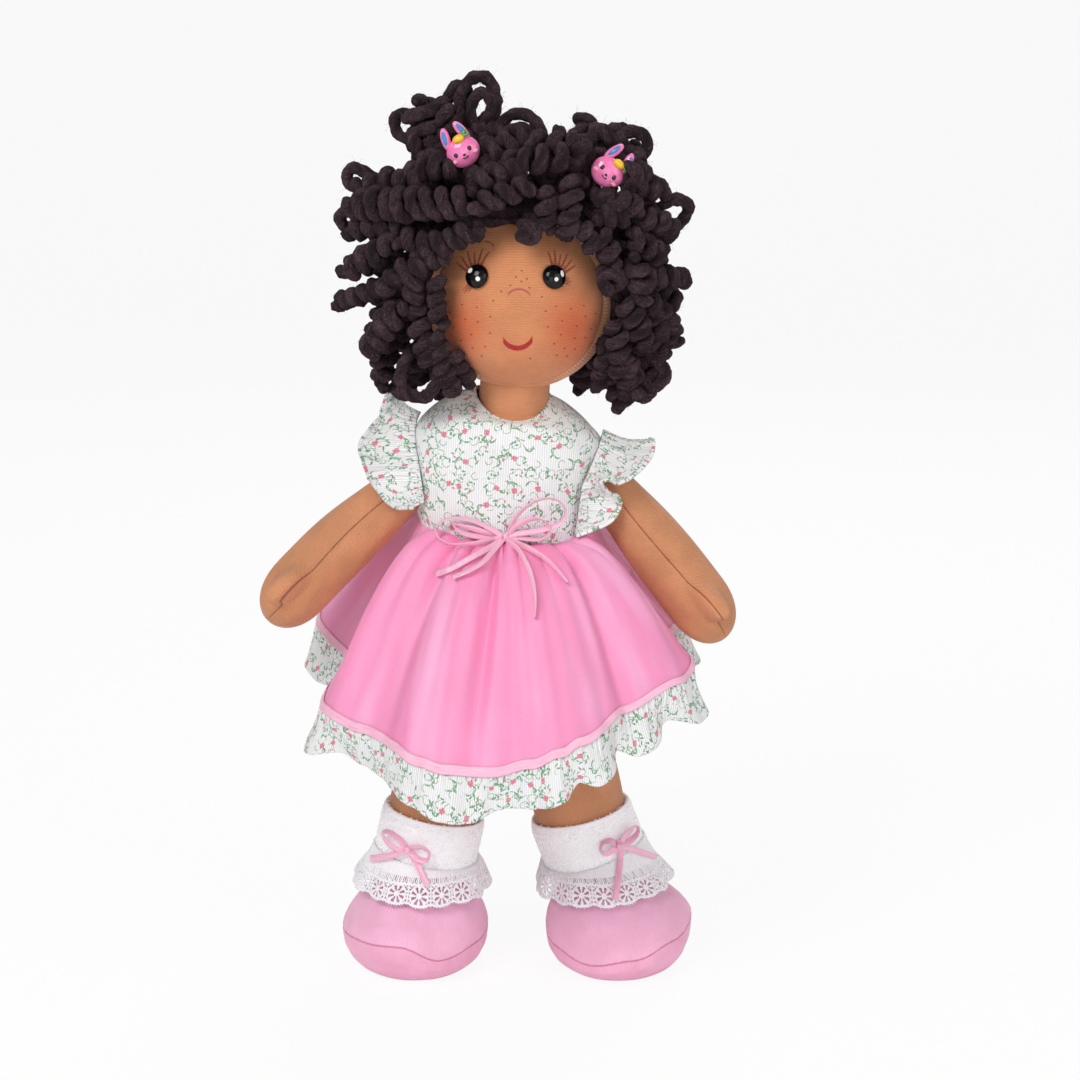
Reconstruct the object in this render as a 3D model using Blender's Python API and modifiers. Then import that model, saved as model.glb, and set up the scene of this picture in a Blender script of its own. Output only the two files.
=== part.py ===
"""A stuffed cloth doll in a dress, made of separate sewn pieces.

Lengths are in metres. The doll faces -Y and stands on z = 0, and a piece named left is at -X.
Run with: blender --background --python part.py
"""

from math import atan2, cos, pi, radians, sin, sqrt

import bmesh
import bpy
from mathutils import Matrix, Vector

# The doll's own axis stands a little off the middle of its box, which is the model's origin.
MIDDLE = Vector((0.0048, 0.0013, 0.0))
GAP = 0.0003

HEAD_RADIUS = 0.0455
HEAD_CENTRE = Vector((0.0065, 0.0, 0.3427))
NECK_RADIUS = 0.0185
NECK_PIVOT = Vector((0.0035, 0.0, 0.290))
NECK_BALL = 0.0146
NECK_HOLLOW = 0.0157
HAIR_CAP_THICKNESS = 0.0090
HEAD_COLUMNS = 24
HEAD_ROWS = 14
TUFT_VOXEL = 0.0083
# Half the width of the fringe and the back hair between the two side masses.
HAIR_MIDDLE = 0.0340

EYE_RADIUS = 0.0055
EYE_HEIGHT = 0.0042
EYE_SHANK_RADIUS = 0.0016
EYE_SHANK_LENGTH = 0.0100
EYE_BORE_RADIUS = 0.0021
WASHER_RADIUS = 0.0060
WASHER_THICKNESS = 0.0012
WASHER_DEPTH = 0.0030
EYES = {"left": Vector((-0.0131, -0.0384, 0.3572)), "right": Vector((0.0229, -0.0399, 0.3571))}

ARM_RADIUS = 0.0163
ARM_FLATNESS = 0.90
ARM_TOP_RADIUS = 0.0120
SHOULDER_HOLLOW = 0.0150
ARMS = {
    "left": (Vector((-0.0460, 0.0, 0.2510)), Vector((-0.1190, -0.0180, 0.1835))),
    "right": (Vector((0.0468, 0.0, 0.2510)), Vector((0.1085, -0.0180, 0.1740))),
}
THUMB_RADIUS = 0.0062

LEG_RADIUS = 0.0235
LEG_TOP_RADIUS = 0.0185
HIP_HEIGHT = 0.1800
HIP_TROUGH = 0.0192
LEG_LINES = {
    "left": ((-0.0210, 0.180), (-0.0262, 0.140), (-0.0335, 0.100), (-0.0375, 0.078), (-0.0435, 0.050)),
    "right": ((0.0210, 0.180), (0.0250, 0.140), (0.0322, 0.100), (0.0380, 0.074), (0.0470, 0.050)),
}

FOOT_HALF_WIDTH = 0.0375
FOOT_LENGTH = 0.0860
FOOT_HEIGHT = 0.0465
FOOT_SEAM_HEIGHT = 0.0130
FEET = {"left": (Vector((-0.0475, -0.0060, 0.0)), -0.12), "right": (Vector((0.0570, -0.0060, 0.0)), 0.18)}

CUFF_RADIUS = 0.0268
CUFF_TOP = 0.0790
CUFF_BOTTOM = 0.0530
LACE_DEPTH = 0.0190
LACE_SCALLOPS = 18

WAIST_HEIGHT = 0.2328
# The seam between bodice and skirt hangs this much lower at the front.
WAIST_DIP = 0.0090
SHOULDER_TOP = 0.2875
CLOTH = 0.0012
# Direction round the doll in degrees from the front towards +X, and the skirt's radius at its hem.
HEM_PLAN = (
    (-180, 0.095), (-162, 0.104), (-140, 0.096), (-116, 0.108), (-88, 0.080), (-62, 0.100),
    (-42, 0.094), (-22, 0.104), (0, 0.099), (18, 0.104), (38, 0.096), (60, 0.104),
    (82, 0.090), (112, 0.107), (136, 0.096), (158, 0.103),
)
HEM_HEIGHT = 0.1470
HEM_TILT_BACK = 0.0180
HEM_TILT_SIDE = 0.0110
FRILL_DEPTH = 0.0190
FRILL_WAVES = 20
RIBBON_WIDTH = 0.0040
WAIST_KNOT = Vector((-0.0004, -0.0322, 0.2282))
RIBBON_THICKNESS = 0.0006
NECKLINE_RADIUS = 0.0205
# How far each sleeve frill stands out sideways and up from the armhole at the top of the shoulder.
SLEEVE_FRILLS = {"left": (0.0262, 0.0245), "right": (0.0255, 0.0110)}
SLEEVE_RING_RADIUS = 0.0165

PUFF_CUT = 0.4035
PUFF_STEM_RADIUS = 0.0070
PUFF_STEM_LENGTH = 0.0120
PUFF_FLOOR = 0.0052
ELASTIC_WIRE = 0.0020
PUFFS = {"left": Vector((-0.0270, -0.004, 0.0)), "right": Vector((0.0440, -0.004, 0.0))}
CHARM_TILT = {"left": radians(-30), "right": radians(42)}
CHARMS = {"left": Vector((-0.0198, -0.0290, 0.4152)), "right": Vector((0.0485, -0.0290, 0.4056))}
CHARM_HALF_WIDTH = 0.0085
CHARM_HALF_DEPTH = 0.0042
CHARM_HALF_HEIGHT = 0.0073
CHARM_EAR_TOP = 0.0156

SKIN = (0.62, 0.26, 0.12)
HAIR = (0.045, 0.025, 0.040)
PINK = (0.89, 0.30, 0.50)
RIBBON_PINK = (0.87, 0.36, 0.46)
PRINT = (0.84, 0.86, 0.82)
WHITE = (0.85, 0.85, 0.86)

SIDES = {"left": -1.0, "right": 1.0}


def start():
    for item in list(bpy.data.objects):
        bpy.data.objects.remove(item, do_unlink=True)
    collections = []
    for name in ("rag_doll", "cutters"):
        collection = bpy.data.collections.new(name)
        bpy.context.scene.collection.children.link(collection)
        collections.append(collection)
    return collections


PIECES, CUTTERS = start()
ROOT = bpy.data.objects.new("doll_middle", None)
ROOT.location = MIDDLE
PIECES.objects.link(ROOT)
MATERIALS = {}


def material(name, color, roughness=0.9, metallic=0.0):
    if name not in MATERIALS:
        made = bpy.data.materials.new(name)
        made.use_nodes = True
        shader = made.node_tree.nodes["Principled BSDF"]
        shader.inputs["Base Color"].default_value = (*color, 1.0)
        shader.inputs["Roughness"].default_value = roughness
        shader.inputs["Metallic"].default_value = metallic
        made.diffuse_color = (*color, 1.0)
        MATERIALS[name] = made
    return MATERIALS[name]


def add_piece(name, bm, finish, origin=Vector((0, 0, 0))):
    """Put a mesh among the pieces, with its origin at a given point of the doll."""
    bmesh.ops.recalc_face_normals(bm, faces=bm.faces)
    bmesh.ops.translate(bm, verts=bm.verts, vec=-origin)
    mesh = bpy.data.meshes.new(name)
    bm.to_mesh(mesh)
    bm.free()
    mesh.shade_smooth()
    mesh.set_sharp_from_angle(angle=radians(50))
    mesh.materials.append(finish)
    piece = bpy.data.objects.new(name, mesh)
    PIECES.objects.link(piece)
    piece.parent = ROOT
    piece.location = origin
    return piece


def add_cutter(name, bm):
    bmesh.ops.recalc_face_normals(bm, faces=bm.faces)
    mesh = bpy.data.meshes.new(name)
    bm.to_mesh(mesh)
    bm.free()
    cutter = bpy.data.objects.new(name, mesh)
    CUTTERS.objects.link(cutter)
    cutter.parent = ROOT
    cutter.hide_render = True
    cutter.display_type = "WIRE"
    return cutter


def boolean(piece, cutter, operation="DIFFERENCE", joins_itself=False):
    step = piece.modifiers.new(cutter.name, "BOOLEAN")
    step.object = cutter
    step.operation = operation
    step.solver = "EXACT"
    step.use_self = joins_itself


def loft(sections, closed_ends=True):
    """A skin over rings of points, each ring with the same number of points."""
    bm = bmesh.new()
    rings = [[bm.verts.new(point) for point in section] for section in sections]
    count = len(rings[0])
    for low, high in zip(rings, rings[1:]):
        for k in range(count):
            n = (k + 1) % count
            bm.faces.new((low[k], low[n], high[n], high[k]))
    if closed_ends:
        bm.faces.new(rings[0])
        bm.faces.new(reversed(rings[-1]))
        bmesh.ops.triangulate(bm, faces=[f for f in bm.faces if len(f.verts) > 4])
    return bm


def frame_along(direction):
    """Two unit vectors square to a direction, the first as near +X as can be, or +Y where the direction is +X."""
    direction = direction.normalized()
    guide = Vector((0, 1, 0)) if abs(direction.x) > 0.9 else Vector((1, 0, 0))
    across = (guide - direction * direction.dot(guide)).normalized()
    return across, direction.cross(across)


def oval(centre, across, depth, radius_across, radius_depth, count):
    turns = (2 * pi * k / count for k in range(count))
    return [centre + across * (radius_across * cos(t)) + depth * (radius_depth * sin(t)) for t in turns]


def sphere(centre, radius, columns=24, rows=14, scale=(1, 1, 1)):
    bm = bmesh.new()
    bmesh.ops.create_uvsphere(bm, u_segments=columns, v_segments=rows, radius=radius)
    bmesh.ops.scale(bm, verts=bm.verts, vec=scale)
    bmesh.ops.translate(bm, verts=bm.verts, vec=centre)
    return bm


def box(low, high):
    bm = bmesh.new()
    bmesh.ops.create_cube(bm, size=1.0)
    low, high = Vector(low), Vector(high)
    bmesh.ops.scale(bm, verts=bm.verts, vec=high - low)
    bmesh.ops.translate(bm, verts=bm.verts, vec=(low + high) / 2)
    return bm


def lathe_along(start_point, direction, profile, count):
    """A turned shape about a line: the profile is pairs of distance along it and radius."""
    direction = direction.normalized()
    across, depth = frame_along(direction)
    rings = [oval(start_point + direction * s, across, depth, r, r, count) for s, r in profile]
    return loft(rings)


def torso_section(z, grow):
    """The body's oval at a height, as half width and half depth, swelling at hip and shoulder."""
    outline = (
        (0.1855, 0.0230, 0.0140), (0.1880, 0.0330, 0.0205), (0.1930, 0.0395, 0.0260),
        (0.2020, 0.0422, 0.0285), (0.2160, 0.0415, 0.0280), (0.2328, 0.0400, 0.0265),
        (0.2480, 0.0402, 0.0265), (0.2620, 0.0400, 0.0255), (0.2740, 0.0375, 0.0235),
        (0.2810, 0.0320, 0.0210), (0.2850, 0.0255, 0.0185), (SHOULDER_TOP, 0.0190, 0.0160),
    )
    for (z0, a0, b0), (z1, a1, b1) in zip(outline, outline[1:]):
        if z <= z1:
            t = (z - z0) / (z1 - z0)
            return a0 + (a1 - a0) * t + grow, b0 + (b1 - b0) * t + grow
    return outline[-1][1] + grow, outline[-1][2] + grow


TORSO_HEIGHTS = (0.1855, 0.1880, 0.1930, 0.2020, 0.2328, 0.2620, 0.2740, 0.2810, 0.2850, SHOULDER_TOP)


def torso_ring(z, grow, count):
    a, b = torso_section(z, grow)
    centre = Vector((0.0005, 0.0, z))
    return oval(centre, Vector((1, 0, 0)), Vector((0, 1, 0)), a, b, count)


def make_torso(skin):
    torso = add_piece("torso", loft([torso_ring(z, 0.0, 24) for z in TORSO_HEIGHTS]), skin)
    boolean(torso, add_cutter("neck_hollow", sphere(NECK_PIVOT, NECK_HOLLOW, 24, 14)))
    for side, sign in SIDES.items():
        inner = line_point(side, HIP_HEIGHT) - Vector((sign * (LEG_TOP_RADIUS + 2 * GAP), 0, 0))
        profile = ((0, HIP_TROUGH), (0.06, HIP_TROUGH))
        boolean(torso, add_cutter("hip_trough_" + side, lathe_along(inner, Vector((sign, 0, 0)), profile, 20)))
        boolean(torso, bpy.data.objects["shoulder_hollow_" + side])


def make_shoulder_hollows():
    for side, (pivot, _) in ARMS.items():
        add_cutter("shoulder_hollow_" + side, sphere(pivot, SHOULDER_HOLLOW, 16, 10))


def make_neck(skin):
    """A short column with a round lower end, hollowed on top where the head sits on it."""
    lean = HEAD_CENTRE - NECK_PIVOT
    profile = [(-NECK_BALL * cos(pi * k / 12), NECK_BALL * sin(pi * k / 12)) for k in range(2, 6, 2)]
    profile += [(0.0, NECK_BALL), (0.0030, 0.0162), (0.0080, NECK_RADIUS), (0.0200, NECK_RADIUS)]
    neck = add_piece("neck", lathe_along(NECK_PIVOT, lean, profile, 20), skin, NECK_PIVOT)
    boolean(neck, add_cutter("head_seat", sphere(HEAD_CENTRE, HEAD_RADIUS + GAP, HEAD_COLUMNS, HEAD_ROWS)))


def make_head(skin):
    head = add_piece("head", sphere(HEAD_CENTRE, HEAD_RADIUS, HEAD_COLUMNS, HEAD_ROWS), skin, HEAD_CENTRE)
    for side, point in EYES.items():
        out = (point - HEAD_CENTRE).normalized()
        bore = ((-EYE_SHANK_LENGTH - 4 * GAP, EYE_BORE_RADIUS), (0.003, EYE_BORE_RADIUS))
        wide = WASHER_RADIUS + GAP
        room = ((-WASHER_DEPTH - WASHER_THICKNESS - GAP, wide), (-WASHER_DEPTH + GAP, wide))
        for label, profile in (("eye_bore_", bore), ("washer_room_", room)):
            boolean(head, add_cutter(label + side, lathe_along(point, out, profile, 12)))


def make_eye(side, plastic, washer_plastic):
    """A domed eye in one piece with its shank, and the washer pushed onto the shank inside the head."""
    point = EYES[side]
    out = (point - HEAD_CENTRE).normalized()
    rim = 0.0004
    dome = [(rim + EYE_HEIGHT * sin(pi * k / 12), EYE_RADIUS * cos(pi * k / 12)) for k in range(0, 6, 2)]
    profile = [(-EYE_SHANK_LENGTH, EYE_SHANK_RADIUS * 0.6), (-EYE_SHANK_LENGTH + 0.001, EYE_SHANK_RADIUS)]
    profile += [(rim - 0.0001, EYE_SHANK_RADIUS), (rim, EYE_RADIUS * 0.96)] + dome
    add_piece("eye_" + side, lathe_along(point, out, profile, 16), plastic, point)
    ring = [(-WASHER_DEPTH - WASHER_THICKNESS, WASHER_RADIUS), (-WASHER_DEPTH, WASHER_RADIUS)]
    washer = add_piece("eye_washer_" + side, lathe_along(point, out, ring, 16), washer_plastic, point)
    hole = [(-WASHER_DEPTH - 0.003, EYE_SHANK_RADIUS + GAP), (-WASHER_DEPTH + 0.003, EYE_SHANK_RADIUS + GAP)]
    boolean(washer, add_cutter("washer_hole_" + side, lathe_along(point, out, hole, 12)))


def arm_radius(s):
    """Half the arm's width along it: narrow at the shoulder, full at the forearm, round at the hand."""
    swell = ARM_TOP_RADIUS + (ARM_RADIUS - ARM_TOP_RADIUS) * sin(pi / 2 * min(1.0, s / 0.58)) ** 1.5
    tip = max(0.0, (s - 0.76) / 0.24)
    return swell * sqrt(max(0.0, 1.0 - tip ** 2.4))


def make_arm(side, skin):
    pivot, tip = ARMS[side]
    line = tip - pivot
    length = line.length
    out = line.normalized()
    across, depth = frame_along(out)
    rings = [
        oval(pivot - out * (ARM_TOP_RADIUS * cos(t)), across, depth, ARM_TOP_RADIUS * sin(t), ARM_TOP_RADIUS * sin(t), 16)
        for t in (pi * k / 8 for k in range(1, 4))
    ]
    for s in (0.0, 0.15, 0.32, 0.55, 0.76, 0.86, 0.94, 0.985):
        r = arm_radius(s)
        flat = 1.0 + (ARM_FLATNESS - 1.0) * min(1.0, s / 0.3)
        rings.append(oval(pivot + out * (s * length), across, depth, r, r * flat, 16))
    arm = add_piece("arm_" + side, loft(rings), skin, pivot)
    outward = across * SIDES[side]
    root = pivot + out * (0.70 * length) + outward * 0.0050 + Vector((0, -0.0105, 0))
    end = pivot + out * (0.80 * length) + outward * 0.0075 + Vector((0, -0.0165, 0))
    profile = [(0.0, 0.0030), (0.002, 0.0052), (0.006, THUMB_RADIUS), (0.010, 0.0058), (0.013, 0.0038), (0.0142, 0.0012)]
    thumb = add_cutter("thumb_" + side, lathe_along(root, end - root, profile, 12))
    boolean(arm, thumb, "UNION")


def line_point(side, z):
    """The leg's centre line at a height, from straight pieces between its points."""
    points = LEG_LINES[side]
    for (x0, z0), (x1, z1) in zip(points, points[1:]):
        if z >= z1:
            return Vector((x0 + (x1 - x0) * (z0 - z) / (z0 - z1), 0.0, z))
    return Vector((points[-1][0], 0.0, z))


def leg_radius(z):
    """Half the leg's width: narrow where it is sewn on, full at the calf, smaller at the ankle."""
    calf, ankle = 0.092, 0.050
    if z > calf:
        t = (HIP_HEIGHT - z) / (HIP_HEIGHT - calf)
        return LEG_TOP_RADIUS + (LEG_RADIUS - LEG_TOP_RADIUS) * sin(pi / 2 * max(0.0, t))
    t = (calf - z) / (calf - ankle)
    return LEG_RADIUS - 0.0035 * t * t


def leg_ring(side, z, grow, count):
    slope = (line_point(side, z - 0.006) - line_point(side, z + 0.006)).normalized()
    across, depth = frame_along(slope)
    r = leg_radius(z) + grow
    return oval(line_point(side, z), across, depth, r, r, count)


def make_leg(side, skin):
    pivot = line_point(side, HIP_HEIGHT)
    rings = [
        oval(pivot + Vector((0, 0, LEG_TOP_RADIUS * cos(t))), Vector((1, 0, 0)), Vector((0, -1, 0)),
             LEG_TOP_RADIUS * sin(t), LEG_TOP_RADIUS * sin(t), 20)
        for t in (pi * k / 8 for k in range(1, 4))
    ]
    rings += [leg_ring(side, z, 0.0, 20) for z in (0.176, 0.155, 0.130, 0.100, 0.078, 0.064, 0.0505)]
    add_piece("leg_" + side, loft(rings), skin, pivot)


def foot_ring(side, level, width, count=24):
    """A slice of the stuffed foot. Level is the height at its middle, and slices near the seam lean outwards."""
    centre, slope = FEET[side]
    lean = max(0.0, 1.0 - abs(level - FOOT_SEAM_HEIGHT) / (FOOT_SEAM_HEIGHT if level < FOOT_SEAM_HEIGHT else 0.030))
    rise = max(0.0, level - FOOT_SEAM_HEIGHT) / FOOT_HEIGHT
    ankle = line_point(side, 0.05)
    points = []
    for k in range(count):
        t = 2 * pi * k / count
        heel = 1.0 - 0.10 * max(0.0, sin(t))
        x = centre.x + (ankle.x - centre.x) * rise ** 1.2 + FOOT_HALF_WIDTH * width * cos(t) * heel
        toe = FOOT_LENGTH / 2 * width
        y = centre.y * (1 - rise) + toe * sin(t)
        points.append(Vector((x, y, level + lean * slope * (x - centre.x))))
    return points


def make_shoe(side, upper_cloth):
    upper = ((FOOT_SEAM_HEIGHT + GAP, 1.0), (0.0180, 0.985), (0.0240, 0.935), (0.0310, 0.840),
             (0.0375, 0.710), (0.0425, 0.590), (FOOT_HEIGHT, 0.470))
    shoe = add_piece("shoe_" + side, loft([foot_ring(side, z, w) for z, w in upper]), upper_cloth)
    ankle = [leg_ring(side, z, GAP, 20) for z in (0.0700, 0.0500)]
    ankle.append([p + Vector((0, 0, -0.0003)) for p in ankle[-1]])
    boolean(shoe, add_cutter("ankle_hollow_" + side, loft(ankle)))
    lower = ((0.0, 0.700), (0.0012, 0.790), (0.0040, 0.900), (0.0080, 0.975), (FOOT_SEAM_HEIGHT, 1.0))
    add_piece("sole_" + side, loft([foot_ring(side, z, w) for z, w in lower]), upper_cloth)


def ring_band(side, heights, outer, inner, count):
    """A closed band round a leg, through rings up its outside and back down its inside."""
    sections = [leg_ring(side, z, r, count) for z, r in zip(heights, outer)]
    sections += [leg_ring(side, z, r, count) for z, r in zip(reversed(heights), reversed(inner))]
    sections.append(sections[0])
    bm = loft(sections, closed_ends=False)
    bmesh.ops.remove_doubles(bm, verts=bm.verts, dist=0.00001)
    return bm


def make_cuff(side, plush):
    heights = [CUFF_BOTTOM, 0.0570, 0.0750, CUFF_TOP]
    full = [CUFF_RADIUS - leg_radius(z) for z in heights]
    outer = [full[0] - 0.0012, full[1], full[2], full[3] - 0.0012]
    inner = [GAP] * len(heights)
    add_piece("cuff_" + side, ring_band(side, heights, outer, inner, 20), plush)


def make_lace(side, cotton):
    """A gathered frill that falls from the cuff over the foot, with a scalloped edge."""
    count = LACE_SCALLOPS * 2
    centre, _ = FEET[side]
    top = CUFF_BOTTOM - GAP
    rows = []
    for v, inside in ((0.0, 0), (0.5, 0), (1.0, 0), (1.0, 1), (0.5, 1), (0.0, 1)):
        row = []
        for k in range(count):
            t = 2 * pi * k / count
            scallop = 0.0016 * abs(sin(t * LACE_SCALLOPS / 2)) * (v == 1.0)
            wave = 0.0009 * v * cos(t * LACE_SCALLOPS / 2)
            z = top - (LACE_DEPTH + scallop) * v * (0.80 - 0.12 * sin(t))
            at = line_point(side, max(z, 0.05))
            over = (top - z) / FOOT_HEIGHT
            middle = at.lerp(Vector((centre.x, centre.y, z)), min(1.0, over))
            r = 0.0235 + 0.0125 * v ** 0.8 + wave - inside * 0.0009
            lean = FEET[side][1] * (r * cos(t)) * 0.5
            row.append(Vector((middle.x + r * cos(t), middle.y + r * sin(t) * 1.06, z + lean)))
        rows.append(row)
    rows.append(rows[0])
    bm = loft(rows, closed_ends=False)
    bmesh.ops.remove_doubles(bm, verts=bm.verts, dist=0.00001)
    lace = add_piece("lace_" + side, bm, cotton)
    foot = [(FOOT_SEAM_HEIGHT - 0.004, 1.01), (0.0180, 0.995), (0.0240, 0.947), (0.0310, 0.853),
            (0.0375, 0.723), (0.0425, 0.603), (FOOT_HEIGHT + GAP, 0.487)]
    boolean(lace, add_cutter("foot_under_lace_" + side, loft([foot_ring(side, z, w) for z, w in foot])))
    above = [leg_ring(side, z, 0.012, 20) for z in (0.0700, CUFF_BOTTOM - GAP)]
    boolean(lace, add_cutter("cuff_above_lace_" + side, loft(above)))
    boolean(lace, add_cutter("leg_in_lace_" + side, loft([leg_ring(side, z, GAP, 20) for z in (0.0700, 0.0440)])))


def strip(points, width, thickness, across):
    """A flat ribbon along points, its width along a given direction."""
    across = Vector(across).normalized() * (width / 2)
    points = [Vector(p) for p in points]
    sections = []
    for k, p in enumerate(points):
        ahead = (points[min(k + 1, len(points) - 1)] - points[max(k - 1, 0)]).normalized()
        normal = ahead.cross(across).normalized() * (thickness / 2)
        sections.append([p - across - normal, p + across - normal, p + across + normal, p - across + normal])
    return loft(sections)


def bow_loop(reach, rise, width, count=7):
    """A loop that leaves the knot, swells and comes back to it, in the plane of the bow."""
    points = []
    for k in range(count + 1):
        t = 2 * pi * k / count
        s = (1 - cos(t)) / 2
        points.append((reach * s + 0.0002, 0.0, rise * s + width * sin(t) * 0.5))
    return points


def tail_over_skirt(centre, angle, t):
    """The points of a ribbon's tail, from a knot, that lies on the skirt and ends at a direction and a place."""
    points = [Vector((0, 0, 0))]
    for s in (0.25, 0.5, 0.75, 1.0):
        points.append(skirt_point(angle * s, t * s, 0.0022) - centre)
    return points


def make_bow(name, centre, loops, tails, ribbon, width):
    """Loops are (reach, rise, width), tails end at (x, z) and forward from the knot, or at a direction and a place on
    the skirt. The knot is a small cushion."""
    bm = sphere(Vector((0, 0, 0)), 0.0026, 8, 6, (1.0, 0.85, 1.1))
    whole = bpy.data.meshes.new(name + "_parts")
    parts = [bm]
    for reach, rise, loop_width in loops:
        parts.append(strip(bow_loop(reach, rise, loop_width), width, RIBBON_THICKNESS, (0.0, 1.0, 0.45)))
    for tail in tails:
        if len(tail) == 2:
            bend = tail_over_skirt(centre, *tail)
            across = bend[-1].cross(Vector((0, -0.8, 0.6)))
        else:
            x, z, forward = tail
            bend = [(x * s, -0.0008 - forward * s, z * s - 0.10 * abs(x) * sin(pi * s)) for s in (0.0, 0.5, 1.0)]
            across = (-z, 0.0, x)
        parts.append(strip(bend, width, RIBBON_THICKNESS, across))
    joined = bmesh.new()
    for part in parts:
        bmesh.ops.recalc_face_normals(part, faces=part.faces)
        part.to_mesh(whole)
        part.free()
        joined.from_mesh(whole)
    bpy.data.meshes.remove(whole)
    bmesh.ops.translate(joined, verts=joined.verts, vec=centre)
    mesh = bpy.data.meshes.new(name)
    joined.to_mesh(mesh)
    joined.free()
    mesh.materials.append(ribbon)
    piece = bpy.data.objects.new(name, mesh)
    PIECES.objects.link(piece)
    piece.parent = ROOT
    around = box(centre - Vector((0.09, 0.03, 0.09)), centre + Vector((0.09, 0.03, 0.09)))
    boolean(piece, add_cutter(name + "_space", around), "INTERSECT", joins_itself=True)
    return piece


def solid_cloth(name, rows, finish, thickness, closed=True, inward=True):
    """An open sheet over rows of points from the bottom up, given its thickness by Solidify."""
    bm = bmesh.new()
    grid = [[bm.verts.new(p) for p in row] for row in rows]
    count = len(grid[0])
    for low, high in zip(grid, grid[1:]):
        for k in range(count if closed else count - 1):
            n = (k + 1) % count
            bm.faces.new((low[k], low[n], high[n], high[k]))
    mesh = bpy.data.meshes.new(name)
    bm.to_mesh(mesh)
    bm.free()
    mesh.shade_smooth()
    mesh.materials.append(finish)
    piece = bpy.data.objects.new(name, mesh)
    PIECES.objects.link(piece)
    piece.parent = ROOT
    wall = piece.modifiers.new("cloth", "SOLIDIFY")
    wall.thickness = thickness
    wall.offset = -1.0 if inward else 1.0
    wall.use_rim = True
    return piece


def waist_height(a):
    """The seam's height in a direction, in radians from the front."""
    return WAIST_HEIGHT - WAIST_DIP * max(0.0, cos(a)) ** 2


def waist_ring(grow, count):
    """The body's outline along the seam, which isn't level."""
    points = []
    wide, deep = torso_section(WAIST_HEIGHT, grow)
    for k in range(count):
        t = 2 * pi * k / count
        z = waist_height(atan2(wide * cos(t), -deep * sin(t))) + 2 * GAP
        a, b = torso_section(z, grow)
        points.append(Vector((0.0005 + a * cos(t), b * sin(t), z)))
    return points


def make_bodice(cotton):
    """The dress top: a shell a cloth's thickness off the body, open at neck, armholes and waist."""
    heights = (0.2400, 0.2480, 0.2620, 0.2740, 0.2810, 0.2850)
    rings = [waist_ring(GAP, 24)] + [torso_ring(z, GAP, 24) for z in heights]
    bodice = solid_cloth("bodice", rings, cotton, 0.0014, inward=False)
    for side, (pivot, _) in ARMS.items():
        boolean(bodice, add_cutter("armhole_" + side, sphere(pivot, SHOULDER_HOLLOW + GAP, 20, 12)))
    low = Vector((NECK_PIVOT.x, 0.0, 0.275))
    neckline = lathe_along(low, Vector((0, -0.28, 1)), ((0.0, NECKLINE_RADIUS), (0.03, NECKLINE_RADIUS)), 20)
    boolean(bodice, add_cutter("neckline", neckline))


def hem_radius(angle):
    """The hem's radius in a direction, rounded between the ridges and valleys of the main folds."""
    angle = (angle + 180.0) % 360.0 - 180.0
    plan = list(HEM_PLAN) + [(180, HEM_PLAN[0][1])]
    for (a0, r0), (a1, r1) in zip(plan, plan[1:]):
        if angle <= a1:
            t = (1 - cos(pi * (angle - a0) / (a1 - a0))) / 2
            return r0 + (r1 - r0) * t
    return HEM_PLAN[0][1]


def hem_height(angle):
    t = radians(angle)
    return HEM_HEIGHT - HEM_TILT_BACK * cos(t) + HEM_TILT_SIDE * sin(t)


def skirt_point(angle, t, out=0.0):
    """A point of the skirt, t from 0 at the waist to 1 at the hem. It flares fast, but not under the arms."""
    a = radians(angle)
    direction = Vector((sin(a), -cos(a), 0.0))
    top = waist_height(a) - GAP
    waist = torso_section(top, GAP + CLOTH + 0.0006)
    at_waist = 1.0 / sqrt((sin(a) / waist[0]) ** 2 + (cos(a) / waist[1]) ** 2)
    under_arm = max(0.0, 1.0 - ((abs(angle) - 84.0) / 26.0) ** 2)
    spread = t ** (0.65 + 0.65 * under_arm)
    r = at_waist + (hem_radius(angle) - at_waist) * spread + out
    z = top + (hem_height(angle) - top) * t
    return direction * r + Vector((0.0005, 0.0, z))


def make_skirt(cloth, ribbon, cotton):
    columns = 64
    angles = [-180.0 + 360.0 * k / columns for k in range(columns)]
    rows = [[skirt_point(a, t) for a in angles] for t in (1.0, 0.72, 0.46, 0.24, 0.08, 0.0)]
    solid_cloth("skirt", rows, cloth, CLOTH)
    height = WAIST_HEIGHT - HEM_HEIGHT
    edges = (1.0, 1.0 - RIBBON_WIDTH / height)
    rows = [[skirt_point(a, t, 2 * GAP) for a in angles] for t in edges]
    solid_cloth("hem_ribbon", rows, ribbon, RIBBON_THICKNESS, inward=False)
    count = FRILL_WAVES * 4
    rows = []
    for v in (1.0, 0.0):
        row = []
        for k in range(count):
            a = -180.0 + 360.0 * k / count
            wave = cos(radians(a) * FRILL_WAVES + 1.2 * sin(radians(a) * 3))
            out = 0.0002 + v * 0.0050 + 0.0034 * v * wave
            drop = 3 * GAP + FRILL_DEPTH * v - 0.0015 * v * wave
            row.append(skirt_point(a, 1.0, out) - Vector((0, 0, drop)))
        rows.append(row)
    solid_cloth("hem_frill", rows, cotton, CLOTH)


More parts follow.
